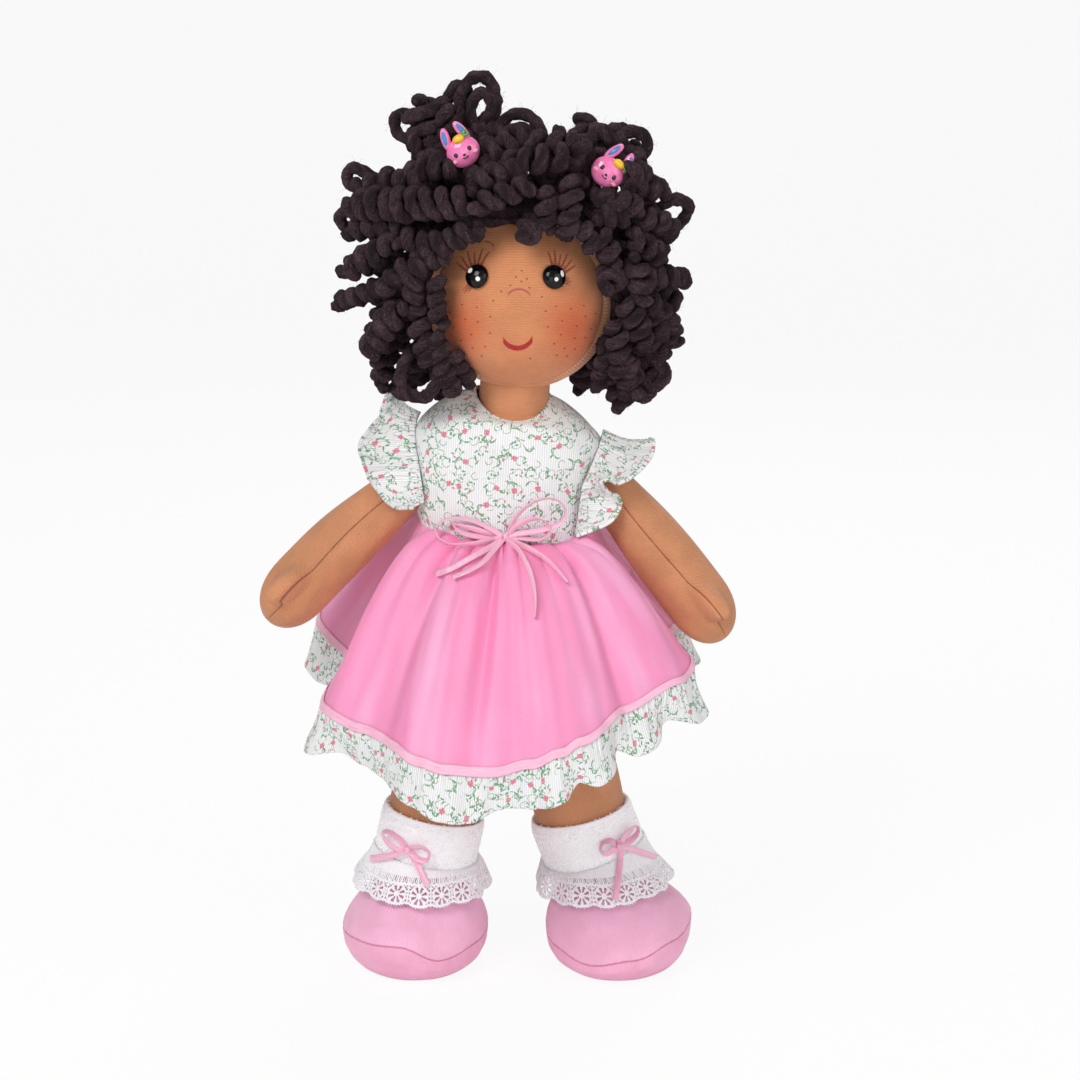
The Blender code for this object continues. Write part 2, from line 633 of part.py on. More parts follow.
def make_sleeve(side, cotton):
    """A gathered frill along the armhole, standing out and up over the shoulder, open below the arm."""
    sign = SIDES[side]
    pivot, _ = ARMS[side]
    reach, rise = SLEEVE_FRILLS[side]
    ring = Vector((sign * 0.0462 + 0.0005, 0.0, pivot.z + 0.0020))
    rows = []
    count = 24
    for v in (0.0, 0.5, 1.0):
        row = []
        for k in range(count + 1):
            turn = radians(-112 + 224 * k / count)
            radial = Vector((0, sin(turn), cos(turn)))
            full = v * (0.72 + 0.28 * cos(turn))
            wave = 0.0030 * v * sin(turn * 5 + 0.6)
            lift = full * (rise * max(0.0, cos(turn)) + 0.0060)
            point = ring + radial * (SLEEVE_RING_RADIUS + lift + wave)
            point.x += sign * (full * reach - 0.5 * abs(wave))
            row.append(point)
        rows.append(row)
    solid_cloth("sleeve_" + side, rows, cotton, CLOTH, closed=False)


def lumps(points):
    """Overlapping round tufts of yarn. Each is (x, y, z, radius) in millimetres from the head's centre."""
    bm = bmesh.new()
    for x, y, z, r in points:
        made = bmesh.ops.create_icosphere(bm, subdivisions=3, radius=r / 1000)
        bmesh.ops.translate(bm, verts=made["verts"], vec=HEAD_CENTRE + Vector((x, y, z)) / 1000)
    return bm


SIDE_TUFTS = {
    "left": (
        (-44, -27, 27, 13), (-58, -14, 26, 14), (-50, -34, 6, 12), (-66, -20, 8, 14), (-79, -6, -2, 12),
        (-50, -32, -16, 12), (-64, -18, -16, 13), (-48, -30, -36, 10), (-60, -12, -33, 12), (-74, 4, 12, 12),
        (-60, 8, 22, 14), (-66, 12, -8, 14), (-56, 14, -28, 12), (-46, 26, 8, 14), (-46, 26, -16, 13),
        (-52, 0, 38, 12),
    ),
    "right": (
        (44, -28, 22, 13), (58, -16, 22, 14), (47, -34, 4, 12), (62, -20, 4, 14), (71, -4, -2, 12),
        (50, -30, -16, 12), (60, -16, -20, 13), (48, -28, -34, 10), (56, -10, -34, 11), (68, 6, 14, 12),
        (56, 8, 24, 14), (60, 12, -8, 14), (54, 14, -28, 12), (46, 26, 8, 14), (46, 26, -16, 13),
        (54, -2, 36, 13),
    ),
}
FRINGE_TUFTS = (
    (-31, -33, 36, 12), (-19, -38, 38, 12), (-6, -41, 36, 11), (7, -42, 34, 11), (20, -40, 36, 11),
    (31, -33, 35, 12), (-27, -20, 50, 13), (-9, -26, 50, 13), (9, -27, 50, 13), (27, -20, 50, 13),
    (-30, -2, 50, 12), (-12, -6, 58, 11), (10, -6, 58, 11), (30, -2, 50, 12),
)
BACK_TUFTS = (
    (-26, 12, 54, 13), (-9, 14, 58, 12), (10, 14, 58, 12), (26, 12, 54, 13), (-28, 34, 40, 13), (-9, 38, 44, 13),
    (10, 38, 44, 13), (28, 34, 40, 13), (-18, 25, 50, 13), (18, 25, 50, 13),
    (-28, 48, 20, 13), (-9, 54, 24, 13), (10, 54, 22, 13), (28, 48, 18, 13),
    (-28, 50, -4, 13), (-9, 57, 0, 13), (10, 57, -2, 13), (28, 50, -6, 13), (-26, 46, -26, 12), (-8, 50, -28, 12),
    (10, 50, -28, 12), (26, 46, -26, 12),
)
# Tufts of the two bunches, as above but from the middle of each bunch's stem at the cut height.
PUFF_TUFTS = {
    "left": (
        (0, 0, 22, 15), (-12, -10, 14, 12), (-20, -2, 22, 12), (-16, 8, 12, 12), (-8, -4, 34, 12), (10, -8, 16, 11),
        (14, 2, 38, 9), (12, 4, 26, 10), (4, 12, 22, 13), (-22, 0, 10, 10),
    ),
    "right": (
        (0, 0, 14, 14), (-10, -6, 22, 10), (4, -8, 20, 11), (16, -8, 14, 12), (-12, 4, 12, 11), (22, 0, 4.5, 11),
        (8, 10, 14, 12), (18, 8, 12, 11), (-2, 6, 24, 10),
    ),
}


def join_tufts(piece, share_of_faces=1.0):
    """One soft skin over all the tufts of a piece."""
    skin = piece.modifiers.new("tufts_joined", "REMESH")
    skin.mode = "VOXEL"
    skin.voxel_size = TUFT_VOXEL
    if share_of_faces < 1.0:
        fewer = piece.modifiers.new("fewer_faces", "DECIMATE")
        fewer.ratio = share_of_faces


def yarn_node(name, bm, cell, yarn, cap_cut):
    """Tufts joined to one body, kept to their own part of the head and clear of the layer below."""
    piece = add_piece(name, bm, yarn, HEAD_CENTRE)
    join_tufts(piece, 0.6)
    boolean(piece, add_cutter(name + "_space", box(*cell)), "INTERSECT")
    boolean(piece, cap_cut)
    return piece


def make_hair(yarn):
    cap_radius = HEAD_RADIUS + HAIR_CAP_THICKNESS
    centre = HEAD_CENTRE
    cap = add_piece("hair_cap", sphere(centre, cap_radius, 20, 12), yarn, centre)
    boolean(cap, add_cutter("head_in_hair", sphere(centre, HEAD_RADIUS + GAP, HEAD_COLUMNS, HEAD_ROWS)))
    face = box((-0.08, -0.12, -0.10), (0.08, 0.0, 0.021))
    bmesh.ops.rotate(face, verts=face.verts, matrix=Matrix.Rotation(radians(-24), 3, "X"))
    bmesh.ops.translate(face, verts=face.verts, vec=centre + Vector((0, 0.004, 0)))
    boolean(cap, add_cutter("face_opening", face))
    nape = box(centre + Vector((-0.07, -0.07, -0.08)), centre + Vector((0.07, 0.07, -0.0335)))
    boolean(cap, add_cutter("nape", nape))
    cap_cut = add_cutter("cap_under_curls", sphere(centre, cap_radius + GAP, 20, 12))
    middle = HAIR_MIDDLE
    reach = 0.13
    seam = GAP / 2
    low, high = centre.z - 0.06, PUFF_CUT
    cells = {
        "hair_fringe": ((centre.x - middle + seam, -reach, low), (centre.x + middle - seam, 0.004 - seam, high)),
        "hair_back": ((centre.x - middle + seam, 0.004 + seam, low), (centre.x + middle - seam, reach, high)),
        "hair_side_left": ((-reach, -reach, low), (centre.x - middle - seam, reach, high)),
        "hair_side_right": ((centre.x + middle + seam, -reach, low), (reach, reach, high)),
    }
    tufts = {
        "hair_fringe": FRINGE_TUFTS, "hair_back": BACK_TUFTS,
        "hair_side_left": SIDE_TUFTS["left"], "hair_side_right": SIDE_TUFTS["right"],
    }
    for name, cell in cells.items():
        yarn_node(name, lumps(tufts[name]), cell, yarn, cap_cut)


def make_puff(side, yarn, elastic_cloth):
    """A bunch of yarn loops on a short stem, with its elastic round the stem."""
    foot = PUFFS[side] + Vector((0, 0, PUFF_CUT + GAP))
    shift = (foot - HEAD_CENTRE) * 1000
    above_foot = 4.0
    tufts = [(x + shift.x, y + shift.y, z + shift.z + above_foot, r) for x, y, z, r in PUFF_TUFTS[side]]
    piece = add_piece("hair_puff_" + side, lumps(tufts), yarn, HEAD_CENTRE)
    join_tufts(piece)
    cell = box((-0.12, -0.12, foot.z + PUFF_FLOOR), (0.12, 0.12, 0.60))
    boolean(piece, add_cutter("puff_space_" + side, cell), "INTERSECT")
    profile = ((0.0, PUFF_STEM_RADIUS), (PUFF_STEM_LENGTH, PUFF_STEM_RADIUS))
    boolean(piece, add_cutter("puff_stem_" + side, lathe_along(foot, Vector((0, 0, 1)), profile, 12)), "UNION")
    ring_radius = PUFF_STEM_RADIUS + GAP + ELASTIC_WIRE
    rows = []
    for k in range(16):
        t = 2 * pi * k / 16
        out = Vector((cos(t), sin(t), 0))
        middle = foot + out * ring_radius + Vector((0, 0, PUFF_FLOOR / 2))
        rows.append(oval(middle, out, Vector((0, 0, 1)), ELASTIC_WIRE, ELASTIC_WIRE, 6))
    rows.append(rows[0])
    band = loft(rows, closed_ends=False)
    bmesh.ops.remove_doubles(band, verts=band.verts, dist=0.00001)
    add_piece("hair_elastic_" + side, band, elastic_cloth, foot)


def make_charm(side, resin):
    """A flat rabbit head with two ears and a small carrot between them, pressed into the hair behind it."""
    parts = (
        ((0, 0, 0), (CHARM_HALF_WIDTH, CHARM_HALF_DEPTH, CHARM_HALF_HEIGHT)),
        ((-0.0040, 0.0, 0.0098), (0.0021, 0.0020, CHARM_EAR_TOP - 0.0098)),
        ((0.0040, 0.0, 0.0098), (0.0021, 0.0020, CHARM_EAR_TOP - 0.0098)),
        ((0.0012, -0.0026, 0.0068), (0.0031, 0.0020, 0.0022)),
        ((0.0046, -0.0024, 0.0080), (0.0022, 0.0014, 0.0013)),
    )
    place = CHARMS[side]
    tilt = Matrix.Rotation(CHARM_TILT[side], 3, "Y")
    joined = bmesh.new()
    for middle, half in parts:
        made = bmesh.ops.create_uvsphere(joined, u_segments=8, v_segments=5, radius=1.0)
        bmesh.ops.scale(joined, verts=made["verts"], vec=half)
        bmesh.ops.translate(joined, verts=made["verts"], vec=middle)
    bmesh.ops.rotate(joined, verts=joined.verts, matrix=tilt)
    bmesh.ops.translate(joined, verts=joined.verts, vec=place)
    charm = add_piece("rabbit_charm_" + side, joined, resin, place)
    room = Vector((0.03, 0.03, 0.03))
    boolean(charm, add_cutter("charm_space_" + side, box(place - room, place + room)), "INTERSECT", joins_itself=True)
    wide = CHARM_HALF_WIDTH + GAP
    for node in ("hair_puff_" + side, "hair_fringe", "hair_side_" + side):
        low = (-wide, -0.025, -CHARM_HALF_HEIGHT - GAP)
        seat = box(low, (wide, CHARM_HALF_DEPTH + GAP, CHARM_EAR_TOP + GAP))
        bmesh.ops.rotate(seat, verts=seat.verts, matrix=tilt)
        bmesh.ops.translate(seat, verts=seat.verts, vec=place)
        boolean(bpy.data.objects[node], add_cutter("charm_seat_" + side + "_" + node, seat))


def main():
    skin = material("skin_knit", SKIN)
    yarn = material("yarn", HAIR, 0.95)
    pink = material("pink_cloth", PINK, 0.6)
    ribbon = material("satin_ribbon", RIBBON_PINK, 0.4)
    cotton = material("printed_cotton", PRINT)
    white = material("white_plush", WHITE)
    lace = material("cotton_lace", WHITE)
    black = material("eye_plastic", (0.005, 0.005, 0.006), 0.1)
    washer = material("washer_plastic", (0.75, 0.75, 0.72), 0.4)
    resin = material("charm_resin", (0.80, 0.22, 0.42), 0.3)

    make_shoulder_hollows()
    make_torso(skin)
    make_neck(skin)
    make_head(skin)
    for side in SIDES:
        make_eye(side, black, washer)
        make_arm(side, skin)
        make_leg(side, skin)
        make_shoe(side, pink)
        make_cuff(side, white)
        make_lace(side, lace)
        make_sleeve(side, cotton)
    make_bodice(cotton)
    make_skirt(pink, ribbon, cotton)
    make_hair(yarn)
    for side in SIDES:
        make_puff(side, yarn, ribbon)
        make_charm(side, resin)
    make_bow("waist_bow", WAIST_KNOT,
             ((0.030, 0.018, 0.012), (0.022, 0.008, 0.007), (-0.033, 0.010, 0.009), (-0.026, 0.012, 0.008)),
             ((-43, 0.17), (-30, 0.13), (35, 0.20), (12, 0.30)), ribbon, RIBBON_WIDTH)
    for side, centre in (("left", Vector((-0.0503, -0.0300, 0.0672))), ("right", Vector((0.0562, -0.0285, 0.0687)))):
        sign = SIDES[side]
        make_bow("sock_bow_" + side, centre,
                 ((0.009, 0.006, 0.007), (-0.011, 0.007, 0.007)),
                 ((-0.015, -0.004, 0.003), (0.004 * sign + 0.006, -0.016, 0.004)),
                 ribbon, RIBBON_WIDTH * 0.85)


main()
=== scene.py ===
from math import cos, hypot, pi, radians, sin

import bpy
import numpy as np
from bpy.props import FloatProperty, FloatVectorProperty, PointerProperty
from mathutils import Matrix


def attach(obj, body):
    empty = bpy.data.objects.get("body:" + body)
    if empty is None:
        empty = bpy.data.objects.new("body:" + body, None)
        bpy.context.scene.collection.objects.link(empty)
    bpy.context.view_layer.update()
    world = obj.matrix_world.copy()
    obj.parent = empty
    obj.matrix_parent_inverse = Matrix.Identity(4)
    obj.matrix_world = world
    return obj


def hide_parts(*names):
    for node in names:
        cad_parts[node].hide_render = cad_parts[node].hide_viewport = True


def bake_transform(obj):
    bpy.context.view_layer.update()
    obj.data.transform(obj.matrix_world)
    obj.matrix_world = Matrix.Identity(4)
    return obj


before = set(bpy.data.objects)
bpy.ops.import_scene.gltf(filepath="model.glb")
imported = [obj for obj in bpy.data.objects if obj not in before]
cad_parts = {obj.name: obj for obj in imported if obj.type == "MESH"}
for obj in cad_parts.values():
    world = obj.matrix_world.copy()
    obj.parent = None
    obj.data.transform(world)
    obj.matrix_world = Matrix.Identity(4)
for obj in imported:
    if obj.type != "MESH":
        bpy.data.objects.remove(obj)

bl_info = {
    "name": "Yarn-haired cloth doll",
    "version": (1, 0, 0),
    "blender": (4, 5, 0),
    "location": "3D View > Sidebar > Cloth doll",
    "description": "Builds a soft cloth doll with yarn curls, a printed dress and trimmed feet",
    "category": "Add Mesh",
}

# The doll's own axis stands a little off the model's origin. Lengths are in metres, and the face looks to -Y.
MIDDLE = np.array((0.0048, 0.0013, 0.0))
MM = 0.001
SIDES = {"left": -1.0, "right": 1.0}

HEAD_CENTRE = np.array((0.0065, 0.0, 0.3427))
HEAD_RADIUS = 0.0455
NECK_PIVOT = np.array((0.0035, 0.0, 0.2900))
EYES = {"left": np.array((-0.0131, -0.0384, 0.3572)), "right": np.array((0.0229, -0.0399, 0.3571))}
ARMS = {
    "left": (np.array((-0.0460, 0.0, 0.2510)), np.array((-0.1190, -0.0180, 0.1835))),
    "right": (np.array((0.0468, 0.0, 0.2510)), np.array((0.1085, -0.0180, 0.1740))),
}
LEG_LINES = {
    "left": ((-0.021, 0.18), (-0.0262, 0.14), (-0.0335, 0.1), (-0.0375, 0.078), (-0.0435, 0.05)),
    "right": ((0.021, 0.18), (0.025, 0.14), (0.0322, 0.1), (0.038, 0.074), (0.047, 0.05)),
}
HIP_HEIGHT = 0.1800
FEET = {"left": (-0.0475, -0.0060), "right": (0.0570, -0.0060)}
FOOT_SEAM = 0.0130
FOOT_HEIGHT = 0.0465
SHOULDER_TOP = 0.2875
HEM_PLAN = (
    (-180, 0.095), (-162, 0.104), (-140, 0.096), (-116, 0.108), (-88, 0.08), (-62, 0.1), (-42, 0.094),
    (-22, 0.104), (0, 0.099), (18, 0.104), (38, 0.096), (60, 0.104), (82, 0.083), (112, 0.0975),
    (136, 0.0905), (158, 0.1), (180, 0.095),
)
CUFF_TOP = 0.0790
CUFF_BOTTOM = 0.0530
LACE_SCALLOPS = 18
# The picture's plane as the camera sees it: right, up, and towards the viewer.
VIEW = (np.array((1.0, 0, 0)), np.array((0, 0.225, 0.9744)), np.array((0, -0.9744, 0.225)))


class Socket:
    """A shader value that takes part in sums: each sign adds one Math node."""

    def __init__(self, finish, link):
        self.finish = finish
        self.link = link

    def sum(self, operation, first, second):
        return self.finish.node("Math", [first, second], operation=operation)

    def __add__(self, other):
        return self.sum("ADD", self, other)

    def __sub__(self, other):
        return self.sum("SUBTRACT", self, other)

    def __rsub__(self, other):
        return self.sum("SUBTRACT", other, self)

    def __mul__(self, other):
        return self.sum("MULTIPLY", self, other)

    def __truediv__(self, other):
        return self.sum("DIVIDE", self, other)

    def __lt__(self, other):
        return self.sum("LESS_THAN", self, other)

    def __gt__(self, other):
        return self.sum("GREATER_THAN", self, other)

    def __abs__(self):
        return self.finish.node("Math", [self], operation="ABSOLUTE")

    __radd__ = __add__
    __rmul__ = __mul__


class Finish:
    """A material of one Principled shader, with the nodes that colour and emboss it."""

    def __init__(self, name, **fixed):
        self.material = bpy.data.materials.new(name)
        self.material.use_nodes = True
        self.tree = self.material.node_tree
        self.shader = self.tree.nodes["Principled BSDF"]
        for socket, value in fixed.items():
            self.shader.inputs[socket.replace("_", " ")].default_value = value

    def put(self, socket, value):
        if isinstance(value, Socket):
            self.tree.links.new(value.link, socket)
        elif socket.type == "RGBA":
            socket.default_value = (*value[:3], 1.0)
        else:
            socket.default_value = value

    def node(self, kind, values=(), output=0, **settings):
        """A node of a kind, its settings made first, then its inputs by place in a list or by name."""
        made = self.tree.nodes.new("ShaderNode" + kind)
        for key, value in settings.items():
            setattr(made, key, value)
        given = values.items() if isinstance(values, dict) else enumerate(values)
        for key, value in given:
            self.put(made.inputs[key], value)
        return Socket(self, made.outputs[output])

    def feed(self, name, value):
        self.put(self.shader.inputs[name], value)

    def place(self):
        return self.node("TexCoord", output="Object")

    def uv(self):
        return self.node("TexCoord", output="UV")

    def parts(self, vector):
        made = self.node("SeparateXYZ", [vector])
        return [Socket(self, out) for out in made.link.node.outputs]

    def vector(self, x, y, z=0.0):
        return self.node("CombineXYZ", [x, y, z])

    def move(self, vector, amount, operation="ADD"):
        return self.node("VectorMath", [vector, amount], operation=operation)

    def distance(self, vector, point):
        return self.node("VectorMath", [vector, point], "Value", operation="DISTANCE")

    def noise(self, vector, scale, detail=2.0, roughness=0.5):
        return self.node("TexNoise", {"Vector": vector, "Scale": scale, "Detail": detail,
                                      "Roughness": roughness})

    def wave(self, value, period):
        """From -1 to 1 and back over each period of a value."""
        return self.node("Math", [value * (2 * pi / period)], operation="SINE")

    def smooth(self, value, low, high):
        """From 0 where a value is at low to 1 where it is at high, eased at both ends."""
        given = {"Value": value, "From Min": low, "From Max": high}
        return self.node("MapRange", given, interpolation_type="SMOOTHSTEP")

    def mix(self, first, second, factor, blend="MIX"):
        given = {"Factor": factor, 6: first, 7: second}
        return self.node("Mix", given, 2, data_type="RGBA", blend_type=blend)

    def emboss(self, height, depth, strength=1.0):
        """Raises the surface by a height from 0 to 1, times a depth in metres."""
        self.feed("Normal", self.node("Bump", {"Height": height, "Strength": strength, "Distance": depth}))


class Part:
    """Points with faces of four and of three corners, and a UV pair for every corner."""

    def __init__(self, points, quads, quad_uv, tris, tri_uv, material=0):
        self.points = points
        self.quads = quads
        self.quad_uv = quad_uv
        self.tris = tris
        self.tri_uv = tri_uv
        self.material = material

    def turned_out(self):
        """The same part with its faces pointing out, told by the sign of the volume inside them."""
        a, b, c, d = (self.points[self.quads[:, k]] for k in range(4))
        volume = np.sum(a * np.cross(b, c)) + np.sum(a * np.cross(c, d))
        if len(self.tris):
            a, b, c = (self.points[self.tris[:, k]] for k in range(3))
            volume += np.sum(a * np.cross(b, c))
        return self if volume > 0 else self.flipped()

    def flipped(self):
        return Part(self.points, self.quads[:, ::-1], self.quad_uv[:, ::-1],
                    self.tris[:, ::-1], self.tri_uv[:, ::-1], self.material)


def skin(points, u=None, v=None, wrap=True, caps=True, ring=False, material=0, keep=None):
    """Faces over a grid of points[row, column]. wrap joins the last column to the first, ring the last row
    to the
    first, caps close the first and last rows with a point at their middle. u and v give each grid line's
    place on
    the cloth, with one more entry where the grid is joined. keep marks the faces that stay."""
    rows, columns = points.shape[:2]
    index = np.arange(rows * columns).reshape(rows, columns)
    if wrap:
        index = np.concatenate([index, index[:, :1]], axis=1)
    if ring:
        index = np.concatenate([index, index[:1]], axis=0)
    shape = index.shape
    u = np.broadcast_to(np.arange(shape[1]) if u is None else u, shape).astype(float)
    v = np.broadcast_to(np.arange(shape[0])[:, None] if v is None else v, shape).astype(float)

    def corners(a):
        return np.stack([a[:-1, :-1], a[:-1, 1:], a[1:, 1:], a[1:, :-1]], axis=-1).reshape(-1, 4)

    quads, quad_uv = corners(index), np.stack([corners(u), corners(v)], axis=-1)
    if keep is not None:
        quads, quad_uv = quads[keep.ravel()], quad_uv[keep.ravel()]
    points = points.reshape(-1, 3)
    tris, tri_uv = np.zeros((0, 3), int), np.zeros((0, 3, 2))
    if caps:
        poles = np.stack([points[index[0]].mean(axis=0), points[index[-1]].mean(axis=0)])
        made = []
        for row, pole in ((0, len(points)), (-1, len(points) + 1)):
            a, b = index[row, 1:], index[row, :-1]
            ends = np.stack([np.full(len(a), pole), a, b], axis=-1)
            at = np.stack([u[row, 1:], v[row, 1:]], axis=-1), np.stack([u[row, :-1], v[row, :-1]], axis=-1)
            around = np.stack([(at[0] + at[1]) / 2, at[0], at[1]], axis=1)
            made.append((ends[:, ::-1], around[:, ::-1]) if row else (ends, around))
        tris = np.concatenate([m[0] for m in made])
        tri_uv = np.concatenate([m[1] for m in made])
        points = np.concatenate([points, poles])
    part = Part(points, quads, quad_uv, tris, tri_uv, material)
    return part.turned_out() if caps or ring else part


def build(name, parts, finishes, body, stands_for=(), thick=0.0, even=True):
    """One object from parts: its mesh in the model's frame, its finishes, its body and the nodes it stands
    for.
    thick gives an open sheet its thickness, to both sides."""
    counts = np.cumsum([0] + [len(p.points) for p in parts])
    points = np.concatenate([p.points for p in parts]) + MIDDLE
    quads = np.concatenate([p.quads + c for p, c in zip(parts, counts)])
    tris = np.concatenate([p.tris + c for p, c in zip(parts, counts)])
    uv = np.concatenate([p.quad_uv.reshape(-1, 2) for p in parts] + [p.tri_uv.reshape(-1, 2) for p in parts])
    corners = np.concatenate([quads.ravel(), tris.ravel()]).astype(np.int32)
    starts = np.concatenate([np.arange(len(quads)) * 4, len(quads) * 4 + np.arange(len(tris)) * 3])
    used = [np.full(len(p.quads), p.material) for p in parts] + [np.full(len(p.tris), p.material)
                                                                 for p in parts]
    mesh = bpy.data.meshes.new(name)
    mesh.vertices.add(len(points))
    mesh.vertices.foreach_set("co", points.astype(np.float32).ravel())
    mesh.loops.add(len(corners))
    mesh.loops.foreach_set("vertex_index", corners)
    mesh.polygons.add(len(starts))
    mesh.polygons.foreach_set("loop_start", starts.astype(np.int32))
    for finish in finishes:
        mesh.materials.append(finish.material)
    mesh.polygons.foreach_set("material_index", np.concatenate(used).astype(np.int32))
    mesh.update(calc_edges=True)
    mesh.uv_layers.new(name="UVMap").uv.foreach_set("vector", uv.astype(np.float32).ravel())
    mesh.validate()
    mesh.shade_smooth()
    made = bpy.data.objects.new(name, mesh)
    bpy.context.scene.collection.objects.link(made)
    if thick:
        wall = made.modifiers.new("cloth", "SOLIDIFY")
        wall.thickness = thick
        wall.offset = 0.0
        wall.use_even_offset = even
    if isinstance(body, str):
        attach(made, body)
    if stands_for:
        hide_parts(*stands_for)
    return made


def unit(vectors):
    return vectors / np.maximum(np.linalg.norm(vectors, axis=-1, keepdims=True), 1e-12)


def lengths_along(path):
    """The distance along a path at each of its points."""
    return np.concatenate([[0.0], np.cumsum(np.linalg.norm(np.diff(path, axis=0), axis=1))])


def eased_path(points, steps):
    """A smooth curve through points, or a surface through rings, by Catmull and Rom's rule, with as many
    steps
    between each two."""
    p = np.asarray(points, float)
    p = np.concatenate([[2 * p[0] - p[1]], p, [2 * p[-1] - p[-2]]])
    t = np.linspace(0, 1, steps, endpoint=False).reshape(1, -1, *[1] * (p.ndim - 1))
    a, b, c, d = (p[k:len(p) - 3 + k, None] for k in range(4))
    dense = 0.5 * (2 * b + (c - a) * t + (2 * a - 5 * b + 4 * c - d) * t ** 2
                   + (3 * b - a - 3 * c + d) * t ** 3)
    return np.concatenate([dense.reshape(-1, *p.shape[1:]), p[-2:-1]])


def through(points, count):
    """The same smooth curve at evenly spaced places along it."""
    dense = eased_path(points, 16)
    at = lengths_along(dense)
    want = np.linspace(0, at[-1], count)
    return np.stack([np.interp(want, at, dense[:, k]) for k in range(dense.shape[1])], axis=1)


def frames(path, guide):
    """For each point of a path, the way ahead and two unit vectors square to it, the first nearest the
    guide."""
    ahead = unit(np.gradient(path, axis=0))
    guide = np.broadcast_to(guide, path.shape)
    first = unit(guide - ahead * np.sum(guide * ahead, axis=1, keepdims=True))
    return ahead, first, np.cross(ahead, first)


def tube(path, guide, radius, sides=8, material=0, section=None):
    """A closed tube: rings square to a path. section scales the radius at each ring and side."""
    _, first, second = frames(path, guide)
    turn = 2 * pi * np.arange(sides) / sides
    r = np.broadcast_to(radius, (len(path), 1)) if np.ndim(radius) < 2 else radius
    r = r * (1.0 if section is None else section)
    r = np.broadcast_to(r, (len(path), sides))[:, :, None]
    ring = first[:, None] * np.cos(turn)[None, :, None] + second[:, None] * np.sin(turn)[None, :, None]
    at = lengths_along(path) / MM
    return skin(path[:, None] + ring * r, np.linspace(0, 1, sides + 1), at[:, None], material=material)


def ellipsoid(centre, half, turn=np.eye(3), rows=10, columns=16, material=0):
    """A ball scaled by half its size on each axis, turned, and moved to its centre."""
    down = np.linspace(0, pi, rows + 2)[1:-1, None]
    around = np.linspace(0, 2 * pi, columns, endpoint=False)[None]
    ball = np.stack(np.broadcast_arrays(np.sin(down) * np.cos(around), np.sin(down) * np.sin(around),
                                        np.cos(down)), -1)
    return skin((ball * half) @ np.asarray(turn).T + centre, material=material)


def turn_about(axis, angle):
    """The matrix that turns by an angle about the x (0), y (1) or z (2) axis."""
    a, b = [k for k in range(3) if k != axis]
    m = np.eye(3)
    m[a, a] = m[b, b] = cos(angle)
    m[a, b], m[b, a] = (-sin(angle), sin(angle)) if axis != 1 else (sin(angle), -sin(angle))
    return m


def soft_noise(values, seed, count=5):
    """A smooth random wave of a value, from about -1 to 1, that repeats after 2 pi: a sum of a few sines."""
    random = np.random.RandomState(seed)
    total = np.zeros_like(values, dtype=float)
    for k in range(1, count + 1):
        total += random.uniform(0.5, 1.0) * np.sin(k * values + random.uniform(0, 2 * pi))
    return total / (0.75 * count ** 0.5 * 1.4)


def srgb(red, green, blue):
    """A colour written as on a screen, from 0 to 255, as the light values that a shader takes."""
    return tuple(c / 12.92 if c <= 0.04045 else ((c + 0.055) / 1.055) ** 2.4
                 for c in (red / 255, green / 255, blue / 255))


def tone(colour, by):
    return tuple(min(1.0, c * by) for c in colour)


def ribs(finish, across, pitch, sharp=0.5):
    """Rounded ribs over a distance in millimetres: 1 on each rib, 0 in the fine valley between two."""
    wave = finish.wave(across, pitch) * 0.5 + 0.5
    return finish.node("Math", [wave, sharp], operation="POWER")


def skin_knit(name, ribs_along, colour, shade=None):
    """Stretched knit of fine ribs. ribs_along gives the distance across the ribs, in millimetres."""
    finish = Finish(name, Roughness=0.82, Sheen_Weight=0.18, Sheen_Roughness=0.5, Specular_IOR_Level=0.25)
    across = ribs_along(finish)
    rib = ribs(finish, across, bpy.context.scene.doll_sizes.rib / MM, 0.6)
    place = finish.place()
    cloud = finish.noise(place, 55.0, 3.0)
    grain = finish.noise(place, 1900.0, 2.0)
    base = finish.mix(tone(colour, 0.90), tone(colour, 1.06), finish.smooth(cloud, 0.3, 0.7))
    if shade is not None:
        base = shade(finish, base)
    # Painted shade: the valleys between the ribs are darkened.
    base = finish.mix(base, (0.50, 0.36, 0.30), (1 - rib) * 0.20, "MULTIPLY")
    base = finish.mix(base, (0.62, 0.52, 0.48), finish.smooth(grain, 0.50, 0.72) * 0.30, "MULTIPLY")
    finish.feed("Base Color", base)
    finish.feed("Roughness", 0.74 + grain * 0.16)
    finish.emboss(rib * 0.8 + grain * 0.5, 0.00016, 0.7)
    return finish


def disc(finish, across, up, centre, radius, soft, squeeze=1.0):
    """1 inside a round spot in the face's plane and 0 outside it, with a soft edge."""
    du, dv = across - centre[0], (up - centre[1]) * squeeze
    far = finish.node("Math", [du * du + dv * dv], operation="SQRT")
    return finish.smooth(far, radius + soft, radius - soft)


